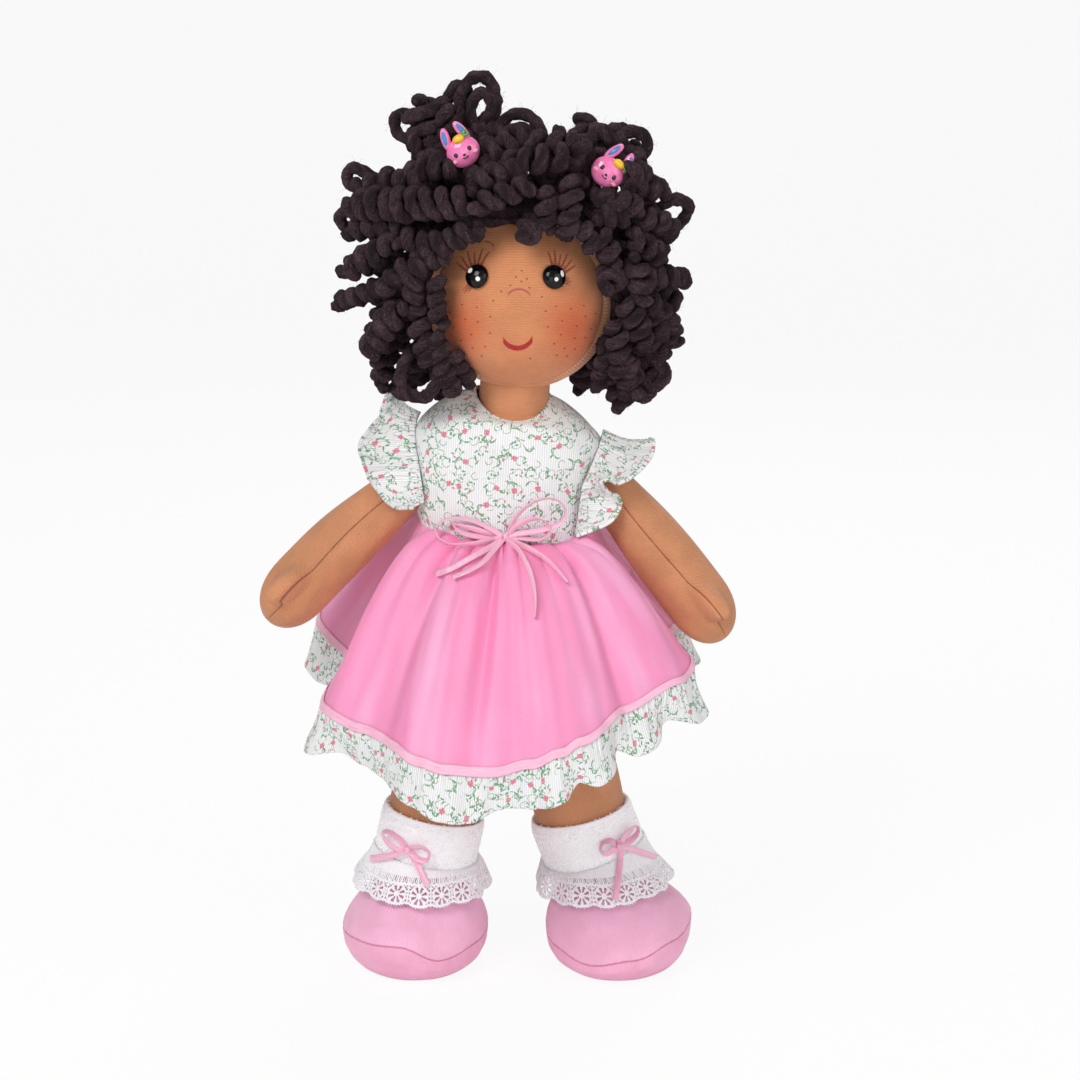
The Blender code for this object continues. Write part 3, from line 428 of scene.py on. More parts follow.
def arc_stroke(finish, across, up, ends, middle, width, soft, below):
    """A brush stroke along the circle through two end points and a middle one, kept to its own side of the
    ends."""
    (x0, y0), (x1, y1), (x2, y2) = ends[0], middle, ends[1]
    d = 2 * (x0 * (y1 - y2) + x1 * (y2 - y0) + x2 * (y0 - y1))
    s0, s1, s2 = x0 * x0 + y0 * y0, x1 * x1 + y1 * y1, x2 * x2 + y2 * y2
    cx = (s0 * (y1 - y2) + s1 * (y2 - y0) + s2 * (y0 - y1)) / d
    cy = (s0 * (x2 - x1) + s1 * (x0 - x2) + s2 * (x1 - x0)) / d
    radius = hypot(x0 - cx, y0 - cy)
    half = abs(x2 - x0) / 2
    du, dv = across - cx, up - cy
    off = abs(finish.node("Math", [du * du + dv * dv], operation="SQRT") - radius)
    along = abs(across - (x0 + x2) / 2) / half
    thin = width * (1.08 - 0.28 * finish.node("Math", [along, 3.0], operation="POWER"))
    side = (up < cy) if below else (up > cy)
    stroke = finish.smooth(off - thin, soft, -soft) * finish.smooth(along, 1.06, 0.98)
    return stroke * side


def lashes(finish, across, up, eye, first, last, number, reach, sweep):
    """A fan of brush strokes round an eye: each runs outwards and is widest at the eye's rim."""
    du, dv = across - eye[0], up - eye[1]
    far = finish.node("Math", [du * du + dv * dv], operation="SQRT")
    angle = finish.node("Math", [dv, du], operation="ARCTAN2") + (far - 5.2) * sweep
    step = (last - first) / (number - 1)
    place = finish.node("Math", [(angle - first) / step, 0.0], operation="ROUND")
    place = finish.node("Math", [finish.node("Math", [place, 0.0], operation="MAXIMUM"), number - 1.0],
                        operation="MINIMUM")
    off = abs(angle - first - place * step) * far
    tip = reach + finish.wave(place, 2.6) * 0.9
    width = 0.78 * (1 - (far - 4.5) / (tip - 4.5) * 0.74)
    stroke = finish.smooth(off - width, 0.34, -0.16) * finish.smooth(far - tip, 0.4, -0.6)
    return stroke * finish.smooth(far, 4.8, 5.2)


FACE_TILT = radians(13)
EYE_MARKS = {"left": (-19.6, 5.5), "right": (16.4, 5.1)}
# Places of the freckles, in millimetres across and up the face from the head's centre.
FRECKLES = (
    (-27.2, -7.4), (-20, -9.1), (-12.2, -6.2), (-8.3, -1.9), (-4, 0.9), (-1.4, 4.9), (3.8, 4), (1.3, 7.9),
    (5, -0.2), (1.2, 2.7), (-25.7, -14.3), (-19.7, -15.8), (-13.6, -13.6), (-31.6, -17.8), (-22.8, -21.4),
    (-13.8, -21.1), (-27.9, -23.8), (-31.3, -26.2), (-22.3, -27.5), (-16.2, -27.1), (-25.4, -30.3),
    (-18, -31.4), (-33.2, -10.8), (10.9, -4.5), (17.6, -8.7), (24.8, -9.4), (31, -7.6), (36.7, -10.7),
    (12.7, -11), (31.8, -12.5), (20.6, -15.3), (27.6, -17.4), (34.4, -17.9), (13.9, -18.2), (20, -21.6),
    (26.7, -22.8), (31.8, -22.3), (16.8, -25.9), (21.8, -27.7), (26.8, -27.8), (23.1, -31.2), (18.2, -31),
    (5.4, -32.7),
)


def face_knit(colours):
    """The head's knit, with the drawn face: each mark is a stroke or spot in a plane tilted up as the face
    is."""
    centre = tuple(-(HEAD_CENTRE + MIDDLE))

    def head_place(finish):
        vector = finish.node("VectorMath", {0: finish.move(finish.place(), centre), "Scale": 1000.0},
                             operation="SCALE")
        return finish.parts(vector)

    def rib_lines(finish):
        x, y, z = head_place(finish)
        behind = finish.smooth(y, -20.1, -19.9)
        around = finish.node("Math", [z, x], operation="ARCTAN2") * 40.0
        return z * (1 - behind) + around * behind

    def drawing(finish, base):
        x, y, z = head_place(finish)
        up = z * cos(FACE_TILT) + y * sin(FACE_TILT)
        front = y < -18.0
        for spot, radius in (((-28.0, -18.5), 9.5), ((26.0, -18.5), 10.5)):
            base = finish.mix(base, colours.blush, disc(finish, x, up, spot, radius, 9.5, 0.8) * 0.66)
        marks = None
        for name, first, last, number, reach, sweep in (
            ("left", 1.27, 2.62, 6, 13.4, 0.016), ("right", 1.66, 0.44, 6, 12.8, -0.016),
        ):
            fan = lashes(finish, x, up, EYE_MARKS[name], first, last, number, reach, sweep)
            marks = fan if marks is None else finish.node("Math", [marks, fan], operation="MAXIMUM")
        for name, first, last, reach in (("left", -2.45, -2.12, 9.6), ("right", -0.42, -0.06, 8.6)):
            fan = lashes(finish, x, up, EYE_MARKS[name], first, last, 3, reach, 0.0) * 0.8
            marks = finish.node("Math", [marks, fan], operation="MAXIMUM")
        brow = arc_stroke(finish, x, up, ((-16.4, 22.8), (-11.8, 20.2)), (-13.7, 22.0), 0.45, 0.2, False)
        marks = finish.node("Math", [marks, brow * 0.9], operation="MAXIMUM")
        fibre = finish.noise(finish.place(), 900.0, 2.0)
        base = finish.mix(base, colours.lash, marks * front * finish.smooth(fibre, 0.15, 0.50) * 0.86)
        nose = arc_stroke(finish, x, up, ((-5.2, -3.4), (5.4, -3.6)), (0.2, -0.9), 0.48, 0.35, False)
        base = finish.mix(base, colours.nose, nose * front * 0.95)
        dots = None
        for spot in FRECKLES:
            far = finish.distance(finish.vector(x, up), (*spot, 0.0))
            dots = far if dots is None else finish.node("Math", [dots, far], operation="MINIMUM")
        base = finish.mix(base, colours.freckle, finish.smooth(dots, 0.62, 0.32) * front * 0.80)
        mouth = arc_stroke(finish, x, up, ((-7.4, -24.7), (6.3, -24.3)), (-0.7, -28.1), 1.08, 0.25, True)
        base = finish.mix(base, colours.mouth, mouth * front * (0.78 + fibre * 0.35))
        behind = finish.smooth(y, -19.9, -19.0) * finish.smooth(abs(x), 14.0,
                                                                26.0) * finish.smooth(abs(finish.wave(
            finish.node("Math", [z, x], operation="ARCTAN2"), 0.080)), 0.2, 0.8)
        base = finish.mix(base, (0.86, 0.60, 0.42), behind * 0.40)
        seam = finish.smooth(abs(y + 20.0), 0.42, 0.12)
        return finish.mix(base, (0.16, 0.05, 0.03), seam * 0.75)

    return skin_knit("Face knit", rib_lines, colours.skin, drawing)


def yarn_finish(name, colours, twist):
    """Woolly yarn: soft streaks of fibre follow its two plies. UV is the turn round the strand and the
    distance
    along it in millimetres."""
    finish = Finish(name, Roughness=0.95, Sheen_Weight=0.30, Sheen_Roughness=0.60, Specular_IOR_Level=0.06)
    finish.shader.inputs["Sheen Tint"].default_value = (*srgb(170, 140, 150), 1.0)
    u, v, _ = finish.parts(finish.uv())
    turn = (u - v / (2.2 * twist / MM)) * (2 * pi)
    ring = finish.vector(finish.node("Math", [turn], operation="COSINE") * 3.2,
                         finish.node("Math", [turn], operation="SINE") * 3.2, v * 0.16)
    streak = finish.noise(ring, 1.25, 5.0, 0.68)
    patch = finish.noise(finish.place(), 130.0, 3.0, 0.6)
    fuzz = finish.noise(finish.place(), 900.0, 4.0, 0.7)
    # groove is 0 between the two plies; masking the fibres' light there paints shade into the groove.
    groove = abs(finish.node("Math", [turn * 0.5], operation="COSINE"))
    # light mixes towards the lit copy of the yarn: painted highlight on streaks, patches and fibres.
    light = finish.smooth(streak, 0.42, 0.74) * 0.45 + finish.smooth(patch, 0.42, 0.72) * 0.35
    light = (light + finish.smooth(fuzz, 0.50, 0.70) * 0.55) * finish.smooth(groove, 0.05, 0.55)
    finish.feed("Base Color", finish.mix(colours.hair, colours.hair_lit_fibres, light))
    finish.feed("Roughness", 0.84 + streak * 0.14)
    finish.emboss(streak + fuzz, 0.0020, 1.0)
    return finish


def rose(finish, a, b, radius):
    """A printed rose: a spot of four uneven lobes, and its distance from the middle for the darker
    strokes."""
    far = finish.node("Math", [a * a + b * b], operation="SQRT")
    turn = finish.node("Math", [b, a], operation="ARCTAN2")
    lobes = abs(finish.node("Math", [turn * 2.0 + 0.5], operation="COSINE"))
    ragged = finish.noise(finish.vector(a, b), 0.9, 1.0)
    return finish.smooth(far - radius * (0.62 + 0.26 * lobes + 0.5 * (ragged - 0.4)), 0.18, -0.18), far


def leaf(finish, a, b, centre, turn, length, width):
    """A leaf: a lens with two pointed ends, with its own middle and direction."""
    x, y = a - centre[0], b - centre[1]
    along = (x * cos(turn) + y * sin(turn)) / length
    across = abs(y * cos(turn) - x * sin(turn)) / width
    return finish.smooth(across + along * along, 1.14, 0.86)


def stem(finish, a, b, centre, radius, low, high, width):
    """A curling stem: part of a circle, between two heights."""
    x, y = a - centre[0], b - centre[1]
    off = abs(finish.node("Math", [x * x + y * y], operation="SQRT") - radius)
    return finish.smooth(off - width, 0.12, -0.12) * (b > low) * (b < high)


def most(finish, *masks):
    made = masks[0]
    for mask in masks[1:]:
        made = finish.node("Math", [made, mask], operation="MAXIMUM")
    return made


def sprigs(finish, u, v, size, shift, random=0.55):
    """Places for sprigs: the distances from the middle of each cell, turned by the cell's own random
    angle."""
    at = finish.vector(u / size + shift, v / size)
    given = {"Vector": at, "Scale": 1.0, "Randomness": random}
    middle = finish.node("TexVoronoi", given, "Position", voronoi_dimensions="2D")
    colour = finish.node("TexVoronoi", given, "Color", voronoi_dimensions="2D")
    chance, other, _ = finish.parts(colour)
    local = finish.move(at, middle, "SUBTRACT")
    local = finish.node("VectorRotate", {"Vector": local, "Angle": chance * (2 * pi)}, rotation_type="Z_AXIS")
    a, b, _ = finish.parts(local)
    return a * size, b * size, other


def printed_cotton(name, colours):
    """White ribbed cotton with a print: curled stems with pointed leaves, a rose or a bud at their ends."""
    finish = Finish(name, Roughness=0.85, Sheen_Weight=0.2, Specular_IOR_Level=0.25)
    u, v, _ = finish.parts(finish.uv())
    wobble = finish.noise(finish.vector(u, v), 0.5, 1.0)
    p, q = u + (wobble - 0.5) * 1.4, v + (wobble - 0.5) * 1.0
    a, b, chance = sprigs(finish, p, q, 11.6, 0.0, 0.7)
    flower, far = rose(finish, a, b, 1.65)
    flower = flower * (chance > 0.30)
    stems = most(finish, stem(finish, a, b, (3.1, -0.2), 2.6, -2.9, 0.8, 0.17),
                 stem(finish, a, b, (-2.4, 2.4), 2.2, 0.2, 4.4, 0.16))
    leaves = [leaf(finish, a, b, middle, turn, 1.45, 0.46) for middle, turn in (
        ((2.5, -3.6), 0.2), ((4.6, -3.7), 2.4), ((0.9, -2.6), 1.9), ((-4.9, 1.6), 1.1), ((-3.9, 3.9), 0.1),
        ((5.6, -1.0), 1.2),
    )]
    c, d, other = sprigs(finish, p, q, 7.9, 11.37, 0.8)
    vines = stem(finish, c, d, (0.9, 0.0), 1.7, -0.6, 1.9, 0.15)
    leaves += [leaf(finish, c, d, middle, turn, 1.25, 0.42) * (other > 0.25) for middle, turn in (
        ((-1.6, -1.4), 1.9), ((0.1, -2.0), 0.9), ((-2.4, 0.4), 0.3), ((2.5, -1.4), 2.5),
    )]
    bud = disc(finish, c, d, (2.6, 0.6), 0.60, 0.20) * (other > 0.55)
    free = 1 - finish.smooth(far, 2.6, 2.2)
    green = most(finish, stems, vines * free, *leaves[:6], *[shape * free for shape in leaves[6:]])
    curl = stem(finish, c, d, (-2.9, -3.0), 1.1, -4.4, -2.2, 0.20) * free
    rib = ribs(finish, u, bpy.context.scene.doll_sizes.rib / MM, 0.7)
    grain = finish.noise(finish.vector(u, v), 2.4, 2.0)
    ink = finish.smooth(grain, 0.28, 0.50)
    base = finish.mix(colours.cotton, tone(colours.cotton, 0.95),
                      finish.smooth(finish.noise(finish.place(), 40.0), 0.4, 0.7))
    base = finish.mix(base, (0.58, 0.60, 0.68), curl * 0.45)
    base = finish.mix(base, colours.leaf, green * (0.50 + 0.42 * ink))
    base = finish.mix(base, colours.flower, most(finish, flower, bud * free) * (0.45 + 0.45 * ink))
    base = finish.mix(base, tone(colours.flower, 0.62), flower * finish.smooth(grain, 0.52, 0.60) * 0.6)
    # Painted shade: the valleys between the ribs are darkened.
    base = finish.mix(base, (0.62, 0.63, 0.70), (1 - rib) * 0.62, "MULTIPLY")
    finish.feed("Base Color", base)
    finish.feed("Roughness", 0.80 + grain * 0.14)
    finish.emboss(rib * 0.9 + grain * 0.2, 0.00022, 0.7)
    return finish


def pink_cotton(colours):
    """Fine cotton with the sheen of satin: a diagonal weave over a cloudy dye."""
    finish = Finish("Pink cotton", Roughness=0.5, Sheen_Weight=0.45, Sheen_Roughness=0.30,
                    Specular_IOR_Level=0.45)
    finish.shader.inputs["Sheen Tint"].default_value = (*srgb(255, 214, 240), 1.0)
    u, v, _ = finish.parts(finish.uv())
    weave = finish.wave(u + v, 0.75) * finish.wave(u - v, 0.75) * 0.5 + 0.5
    cloud = finish.noise(finish.place(), 22.0, 2.0)
    slub = finish.noise(finish.vector(u, v), 0.9, 3.0)
    sheen = finish.noise(finish.vector(u * 0.042, v * 0.011), 1.0, 2.0)
    base = finish.mix(tone(colours.dress, 0.95), tone(colours.dress, 1.04), finish.smooth(cloud, 0.3, 0.7))
    # Painted sheen: broad noise streaks lighten the cloth towards a paler pink.
    base = finish.mix(base, colours.dress_sheen, finish.smooth(sheen, 0.42, 0.70) * 0.40)
    base = finish.mix(base, (0.90, 0.80, 0.87), weave * 0.22, "MULTIPLY")
    base = finish.mix(base, (1.0, 0.93, 0.97), finish.smooth(slub, 0.50, 0.78) * 0.08)
    finish.feed("Base Color", base)
    finish.feed("Roughness", 0.46 + finish.smooth(slub, 0.3, 0.8) * 0.10)
    finish.emboss(weave * 0.5 + slub * 0.3, 0.00008, 0.5)
    return finish


def ribbed_pink(name, colour, dark):
    """The shoe's stretched knit: fine ribs across, and a darker line of puckers where upper and sole meet."""
    finish = Finish(name, Roughness=0.8, Sheen_Weight=0.25, Specular_IOR_Level=0.25)
    u, v, _ = finish.parts(finish.uv())
    rib = ribs(finish, u, bpy.context.scene.doll_sizes.rib / MM, 0.5)
    cloud = finish.noise(finish.place(), 60.0, 3.0)
    grain = finish.noise(finish.place(), 1700.0, 2.0)
    base = finish.mix(tone(colour, 0.92), tone(colour, 1.06), finish.smooth(cloud, 0.3, 0.7))
    # Painted shade: the valleys between the ribs are darkened.
    base = finish.mix(base, (0.80, 0.62, 0.70), (1 - rib) * 0.26, "MULTIPLY")
    # Painted shade: a darker band within 0.75 millimetres of the gathered seam.
    base = finish.mix(base, dark, finish.smooth(v, 0.75, 0.0) * 0.55)
    base = finish.mix(base, (0.80, 0.70, 0.75), finish.smooth(grain, 0.5, 0.75) * 0.3, "MULTIPLY")
    finish.feed("Base Color", base)
    finish.feed("Roughness", 0.72 + grain * 0.16)
    finish.emboss(rib * 0.9 + grain * 0.4, 0.00018, 0.7)
    return finish


def plush_finish(colours):
    """White short pile: small clumps over a grey ground."""
    # The faint white emission is a painted glow that brightens the pile.
    finish = Finish("White plush", Emission_Color=(1, 1, 1, 1), Emission_Strength=0.07, Roughness=0.95,
                    Sheen_Weight=0.5, Sheen_Roughness=0.6, Specular_IOR_Level=0.15)
    clump = finish.noise(finish.place(), 420.0, 3.0, 0.6)
    fine = finish.noise(finish.place(), 1600.0, 2.0)
    base = finish.mix(tone(colours.plush, 0.97), colours.plush, finish.smooth(clump, 0.32, 0.60))
    finish.feed("Base Color", finish.mix(base, (1, 1, 1), finish.smooth(fine, 0.5, 0.8) * 0.25))
    finish.feed("Roughness", 0.86 + fine * 0.12)
    finish.emboss(clump * 0.5 + fine, 0.00035, 0.6)
    return finish


def lace_finish(colours):
    """White cotton lace: fine threads round each hole."""
    # The faint white emission is a painted glow that brightens the lace.
    finish = Finish("Cotton lace", Emission_Color=(1, 1, 1, 1), Emission_Strength=0.06, Roughness=0.8,
                    Sheen_Weight=0.2, Specular_IOR_Level=0.25)
    u, v, _ = finish.parts(finish.uv())
    thread = finish.noise(finish.vector(u, v), 2.6, 3.0, 0.6)
    twist = finish.wave(u + v * 0.7, 0.5) * 0.5 + 0.5
    base = finish.mix(tone(colours.lace, 0.93), colours.lace, finish.smooth(thread, 0.30, 0.58))
    # Painted shade: the grooves of the thread's twist are darkened.
    base = finish.mix(base, (0.88, 0.88, 0.94), (1 - twist) * 0.18, "MULTIPLY")
    finish.feed("Base Color", base)
    finish.feed("Roughness", 0.74 + thread * 0.2)
    finish.emboss(thread + twist * 0.5, 0.00022, 0.8)
    return finish


def satin(name, colour):
    """Satin ribbon: glossy along its length, with a ribbed edge. UV is across and along in millimetres."""
    finish = Finish(name, Roughness=0.3, Sheen_Weight=0.35, Specular_IOR_Level=0.7)
    u, v, _ = finish.parts(finish.uv())
    streak = finish.noise(finish.vector(u * 2.6, v * 0.10), 1.0, 3.0)
    edge = finish.smooth(abs(u), 1.35, 1.75)
    pick = finish.wave(v, 0.45) * 0.5 + 0.5
    base = finish.mix(tone(colour, 0.90), tone(colour, 1.10), finish.smooth(streak, 0.3, 0.7))
    base = finish.mix(base, tone(colour, 0.78), edge * 0.4)
    finish.feed("Base Color", finish.mix(base, (0.90, 0.80, 0.84), pick * 0.18, "MULTIPLY"))
    finish.feed("Roughness", 0.26 + finish.smooth(streak, 0.3, 0.8) * 0.16 + edge * 0.2)
    finish.emboss(pick * (edge + 0.25) + streak * 0.4, 0.00010, 0.7)
    return finish


def plastic(name, colour, roughness, coat=0.0):
    """Moulded plastic or resin, with faint flow marks and fine scratches in its gloss."""
    finish = Finish(name, Coat_Weight=coat, Coat_Roughness=0.06, Specular_IOR_Level=0.5)
    place = finish.place()
    flow = finish.noise(place, 260.0, 3.0)
    mark = finish.noise(place, 1500.0, 4.0, 0.7)
    finish.feed("Base Color", finish.mix(tone(colour, 0.90), tone(colour, 1.08),
                                         finish.smooth(flow, 0.35, 0.65)))
    finish.feed("Roughness", roughness * 0.8 + finish.smooth(mark, 0.5, 0.8) * 0.12 + roughness * flow * 0.4)
    finish.emboss(flow, 0.00005, 0.35)
    return finish


def head_grid():
    """A ball of rows and columns about an axis from front to back, so that the seam between face and back
    is one
    of its rows. Each row's radius is pulled in where it nears the seam, with a pucker at every rib behind
    it."""
    rows, columns = 150, 200
    down = np.linspace(0.02, pi - 0.02, rows)[:, None]
    around = np.linspace(0, 2 * pi, columns, endpoint=False)[None]
    ahead = np.cos(down) * HEAD_RADIUS
    seam = np.exp(-((ahead - 0.0200) / 0.0009) ** 2)
    behind = np.exp(-((ahead - 0.0178) / 0.0014) ** 2)
    r = HEAD_RADIUS - 0.0006 * seam + 0.00018 * behind * np.sin(around * 62) \
        + 0.0012 * np.clip((0.0195 - ahead) / 0.004, 0, 1) * np.sin(around) ** 2
    r = r + 0.00025 * np.sin(3 * around + 0.4) * np.sin(down) ** 2
    x = r * np.sin(down) * np.sin(around)
    z = r * np.sin(down) * np.cos(around)
    y = -r * np.cos(down) * np.ones_like(around)
    return np.stack([x, y, z], axis=-1) + HEAD_CENTRE


def make_head(look):
    part = skin(head_grid())
    build("head_ball", [part], [face_knit(look)], "head", ("head",))


def make_neck_and_body(look):
    """The neck is a soft column between the body and the head. The body under the dress is an oval carried
    up."""

    def around_neck(finish):
        _, _, z = finish.parts(finish.move(finish.place(), (1000.0, 1000.0, 1000.0), "MULTIPLY"))
        return z

    knit = skin_knit("Neck knit", around_neck, look.skin_pale)
    v = np.linspace(0, 1, 40)[:, None]
    t = np.linspace(0, 2 * pi, 64, endpoint=False)[None]
    lean = HEAD_CENTRE - NECK_PIVOT
    height = -0.0120 + v * 0.0285
    r = 0.0181 - 0.0012 * v - 0.0042 * np.exp(-(v / 0.14) ** 2) + 0.00035 * np.cos(5 * t + 1) * np.exp(-((v - 0.85) / 0.2) ** 2)
    middle = NECK_PIVOT + lean / lean[2] * height[..., None]
    points = middle + np.stack([r * np.cos(t), r * np.sin(t), 0 * r], axis=-1)
    neck = build("neck_column", [skin(points)], [knit], "neck", ("neck",))
    levels = np.array([0.1857, 0.1880, 0.1930, 0.2020, 0.2160, 0.2328, 0.2480, 0.2620, 0.2740, 0.2810,
                       0.2850, 0.2873])
    shape = np.array([oval_at(z) for z in levels]) - 0.0002
    z = np.linspace(levels[0], levels[-1], 60)
    wide = np.interp(z, levels, shape[:, 0])[:, None]
    deep = np.interp(z, levels, shape[:, 1])[:, None]
    points = np.stack([wide * np.cos(t) + 0.0005, deep * np.sin(t), z[:, None] + 0 * t], axis=-1)
    for pivot, _ in ARMS.values():
        points = pushed_out(points, pivot, 0.0148)
    points = pushed_out(points, NECK_PIVOT, 0.0150)
    for side, sign in SIDES.items():
        low = np.array((leg_middle(side, HIP_HEIGHT)[0], 0.0, HIP_HEIGHT))
        flat = points.copy()
        flat[..., 0] = low[0]
        close = (sign * (points[..., 0] - low[0]) > -0.0195)[..., None]
        away = pushed_out(flat, low, 0.0195)
        away[..., 0] = points[..., 0]
        points = np.where(close & (points[..., 2:] < 0.2100), away, points)
    body = build("body_bag", [skin(points)], [knit], "torso", ("torso",))


def pushed_out(points, centre, radius):
    """Points that lie nearer a centre than a radius are moved straight out to it."""
    away = points - centre
    far = np.linalg.norm(away, axis=-1, keepdims=True)
    return np.where(far < radius, centre + away / np.maximum(far, 1e-6) * radius, points)


def oval_at(z):
    """The body's half width and half depth at a height."""
    outline = np.array((
        (0.1855, 0.0230, 0.0140), (0.1880, 0.0330, 0.0205), (0.1930, 0.0395, 0.0260),
        (0.2020, 0.0422, 0.0285), (0.2160, 0.0415, 0.0280), (0.2328, 0.0400, 0.0265),
        (0.2480, 0.0402, 0.0265), (0.2620, 0.0400, 0.0255), (0.2740, 0.0375, 0.0235),
        (0.2810, 0.0320, 0.0210), (0.2850, 0.0255, 0.0185), (SHOULDER_TOP, 0.0190, 0.0160),
    ))
    return np.stack([np.interp(z, outline[:, 0], outline[:, 1]),
                     np.interp(z, outline[:, 0], outline[:, 2])], axis=-1)


def arm_points(side):
    """An arm: ovals along a gently bowed line, narrow at the shoulder and round at the hand, with a thumb
    swelling
    out of the front and a seam pressed in along it."""
    pivot, tip = ARMS[side]
    sign = SIDES[side]
    line = tip - pivot
    length = np.linalg.norm(line)
    out = line / length
    across = unit(np.array((1.0, 0, 0)) - out * out[0])
    depth = np.cross(out, across)
    start = -0.0118 / length
    s = start + (1.0 - start) * (1 - np.cos(np.linspace(0.03, pi - 0.02, 110)))[:, None] / 2
    t = np.linspace(0, 2 * pi, 96, endpoint=False)[None]
    full = 0.0120 + 0.0043 * np.sin(pi / 2 * np.clip(s / 0.58, 0, 1)) ** 1.5
    end = np.clip((s - 0.76) / 0.24, 0, 1)
    r = full * np.sqrt(np.maximum(0, 1 - end ** 2.4))
    r = np.where(s < 0, np.sqrt(np.maximum(0, 0.0120 ** 2 - (s * length) ** 2)), r)
    flat = 1 - 0.10 * np.clip(s / 0.3, 0, 1)
    bow = np.sin(pi * np.clip(s, 0, 1)) * 0.0022
    ridge = 0.00018 * np.sin(7 * t + 9 * s) * np.clip(s * 3, 0, 1)
    cx, cy = np.cos(t), np.sin(t)
    centre = pivot + out * (s * length)[..., None] + np.array((0, 0, 1.0)) * bow[..., None]
    ring = across * (cx * (r + ridge))[..., None] + depth * (cy * (r * flat + ridge))[..., None]
    points = centre + ring
    outward = across * sign
    root = pivot + out * (0.70 * length) + outward * 0.0050 + np.array((0, -0.0105, 0))
    end_point = pivot + out * (0.815 * length) + outward * 0.0072 + np.array((0, -0.0150, 0))
    thumb_line = end_point - root
    along = np.clip(np.sum((points - root) * thumb_line, axis=-1) / np.sum(thumb_line ** 2), 0, 1)[..., None]
    nearest = root + thumb_line * along
    off = np.linalg.norm(points - nearest, axis=-1, keepdims=True)
    front = np.clip(-(points[..., 1:2] - centre[..., 1:2]) / 0.010, 0, 1)
    push = 0.0092 * np.exp(-(off / 0.0058) ** 6) * front
    points = points + unit(np.array((0, -0.85, 0)) + outward * 0.35 + out * 0.35) * push
    turn = np.arctan2(np.sum(ring * depth, axis=-1), np.sum(ring * across, axis=-1))
    front_turn = np.arctan2(*(np.dot(np.array((0, -1.0, 0.10)) + outward * 0.12, w) for w in (depth, across)))
    seam = np.angle(np.exp(1j * (turn - front_turn - 0.10 * np.sin(5 * s))))
    groove = np.exp(-(seam * r / 0.00075) ** 2) * np.clip(s * 6, 0, 1) * np.clip((1.02 - s) * 18, 0, 1)
    points = points - unit(points - centre) * (groove * 0.0009)[..., None]
    return points, s, length, seam


def make_arms(look):
    for side in SIDES:
        points, s, length, seam = arm_points(side)
        u = np.unwrap(np.concatenate([seam, seam[:, :1]], axis=1), axis=1)
        u = (u - u[:, :1] + np.unwrap(seam[:, 0])[:, None]) * 16.0
        v = np.broadcast_to(s * length / MM, points.shape[:2])
        v = np.concatenate([v, v[:, :1]], axis=1)

        def slant(finish):
            a, b, _ = finish.parts(finish.uv())
            return b * 0.92 + a * 0.38

        def seam_line_and_shoulder_shade(finish, base):
            a, b, _ = finish.parts(finish.uv())
            wobble = finish.noise(finish.vector(b * 0.2, 0.0), 1.0, 1.0)
            far = abs(finish.node("Math", [a + 50.265, 100.53], operation="MODULO") - 50.265)
            line = finish.smooth(abs(far + (wobble - 0.5) * 0.5), 0.62, 0.16) * finish.smooth(b, 8.0, 14.0)
            # Painted shade: the arm is darkened over its first 16 millimetres from the shoulder.
            base = finish.mix(base, look.skin_shoulder_shade, finish.smooth(b, 16.0, -4.0) * 0.30)
            return finish.mix(base, (0.20, 0.055, 0.03), line * 0.72)

        knit = skin_knit("Arm knit " + side, slant, look.skin_arm, seam_line_and_shoulder_shade)
        arm = build("arm_tube_" + side, [skin(points, u, v)], [knit], "arm_" + side,
                    ("arm_" + side,))


def leg_middle(side, z):
    """The leg's middle line at each height, between its points."""
    line = np.array(LEG_LINES[side])[::-1]
    x = np.interp(z, line[:, 1], line[:, 0])
    return np.stack([x, np.zeros_like(x), np.broadcast_to(z, np.shape(x))], axis=-1)


def leg_radius(z):
    z = np.asarray(z, float)
    upper = 0.0185 + 0.0050 * np.sin(pi / 2 * np.clip((HIP_HEIGHT - z) / 0.088, 0, 1))
    lower = 0.0235 - 0.0035 * ((0.092 - z) / 0.042) ** 2
    return np.where(z > 0.092, upper, lower)


def leg_ring(side, z, r, t):
    """Rings round the leg, square to its middle line. z and r are columns of values, t a row of turns."""
    up = leg_middle(side, z + 0.006) - leg_middle(side, z - 0.006)
    down = -unit(up)
    across = unit(np.array((1.0, 0, 0)) - down * down[..., :1])
    depth = np.cross(down, across)
    middle = leg_middle(side, z)
    return middle + across * (r * np.cos(t))[..., None] + depth * (r * np.sin(t))[..., None]


def make_legs(look):
    t = np.linspace(0, 2 * pi, 64, endpoint=False)[None]

    def round_leg(finish):
        return finish.parts(finish.uv())[0]

    knit = skin_knit("Leg knit", round_leg, look.skin_leg)
    for side in SIDES:
        z = np.linspace(0.0507, 0.1760, 70)[:, None]
        rings = leg_ring(side, z, leg_radius(z) * np.ones_like(t), t)
        a = np.linspace(0.06, pi / 2 - 0.1, 12)[::-1, None]
        top = leg_middle(side, np.array(HIP_HEIGHT)) + 0.0184 * np.stack(
            [np.sin(a) * np.cos(t), -np.sin(a) * np.sin(t), np.cos(a) * np.ones_like(t)], axis=-1)
        points = np.concatenate([rings, top])
        part = skin(points, np.linspace(0, 141, 65), np.linspace(0, 140, len(points))[:, None])
        leg = build("leg_tube_" + side, [part], [knit], "leg_" + side, ("leg_" + side,))


# The height of each foot's seam by direction, in degrees from the doll's left side towards its back.
FOOT_SEAMS = {
    "left": (
        (-180, 0.0191), (-130, 0.0212), (-100, 0.0222), (-67, 0.014), (-30, 0.0175), (0, 0.0195),
        (90, 0.019), (180, 0.0191),
    ),
    "right": (
        (-180, 0.0168), (-150, 0.0148), (-116, 0.0112), (-80, 0.015), (-45, 0.021), (0, 0.0262),
        (60, 0.0235), (120, 0.019), (180, 0.0168),
    ),
}


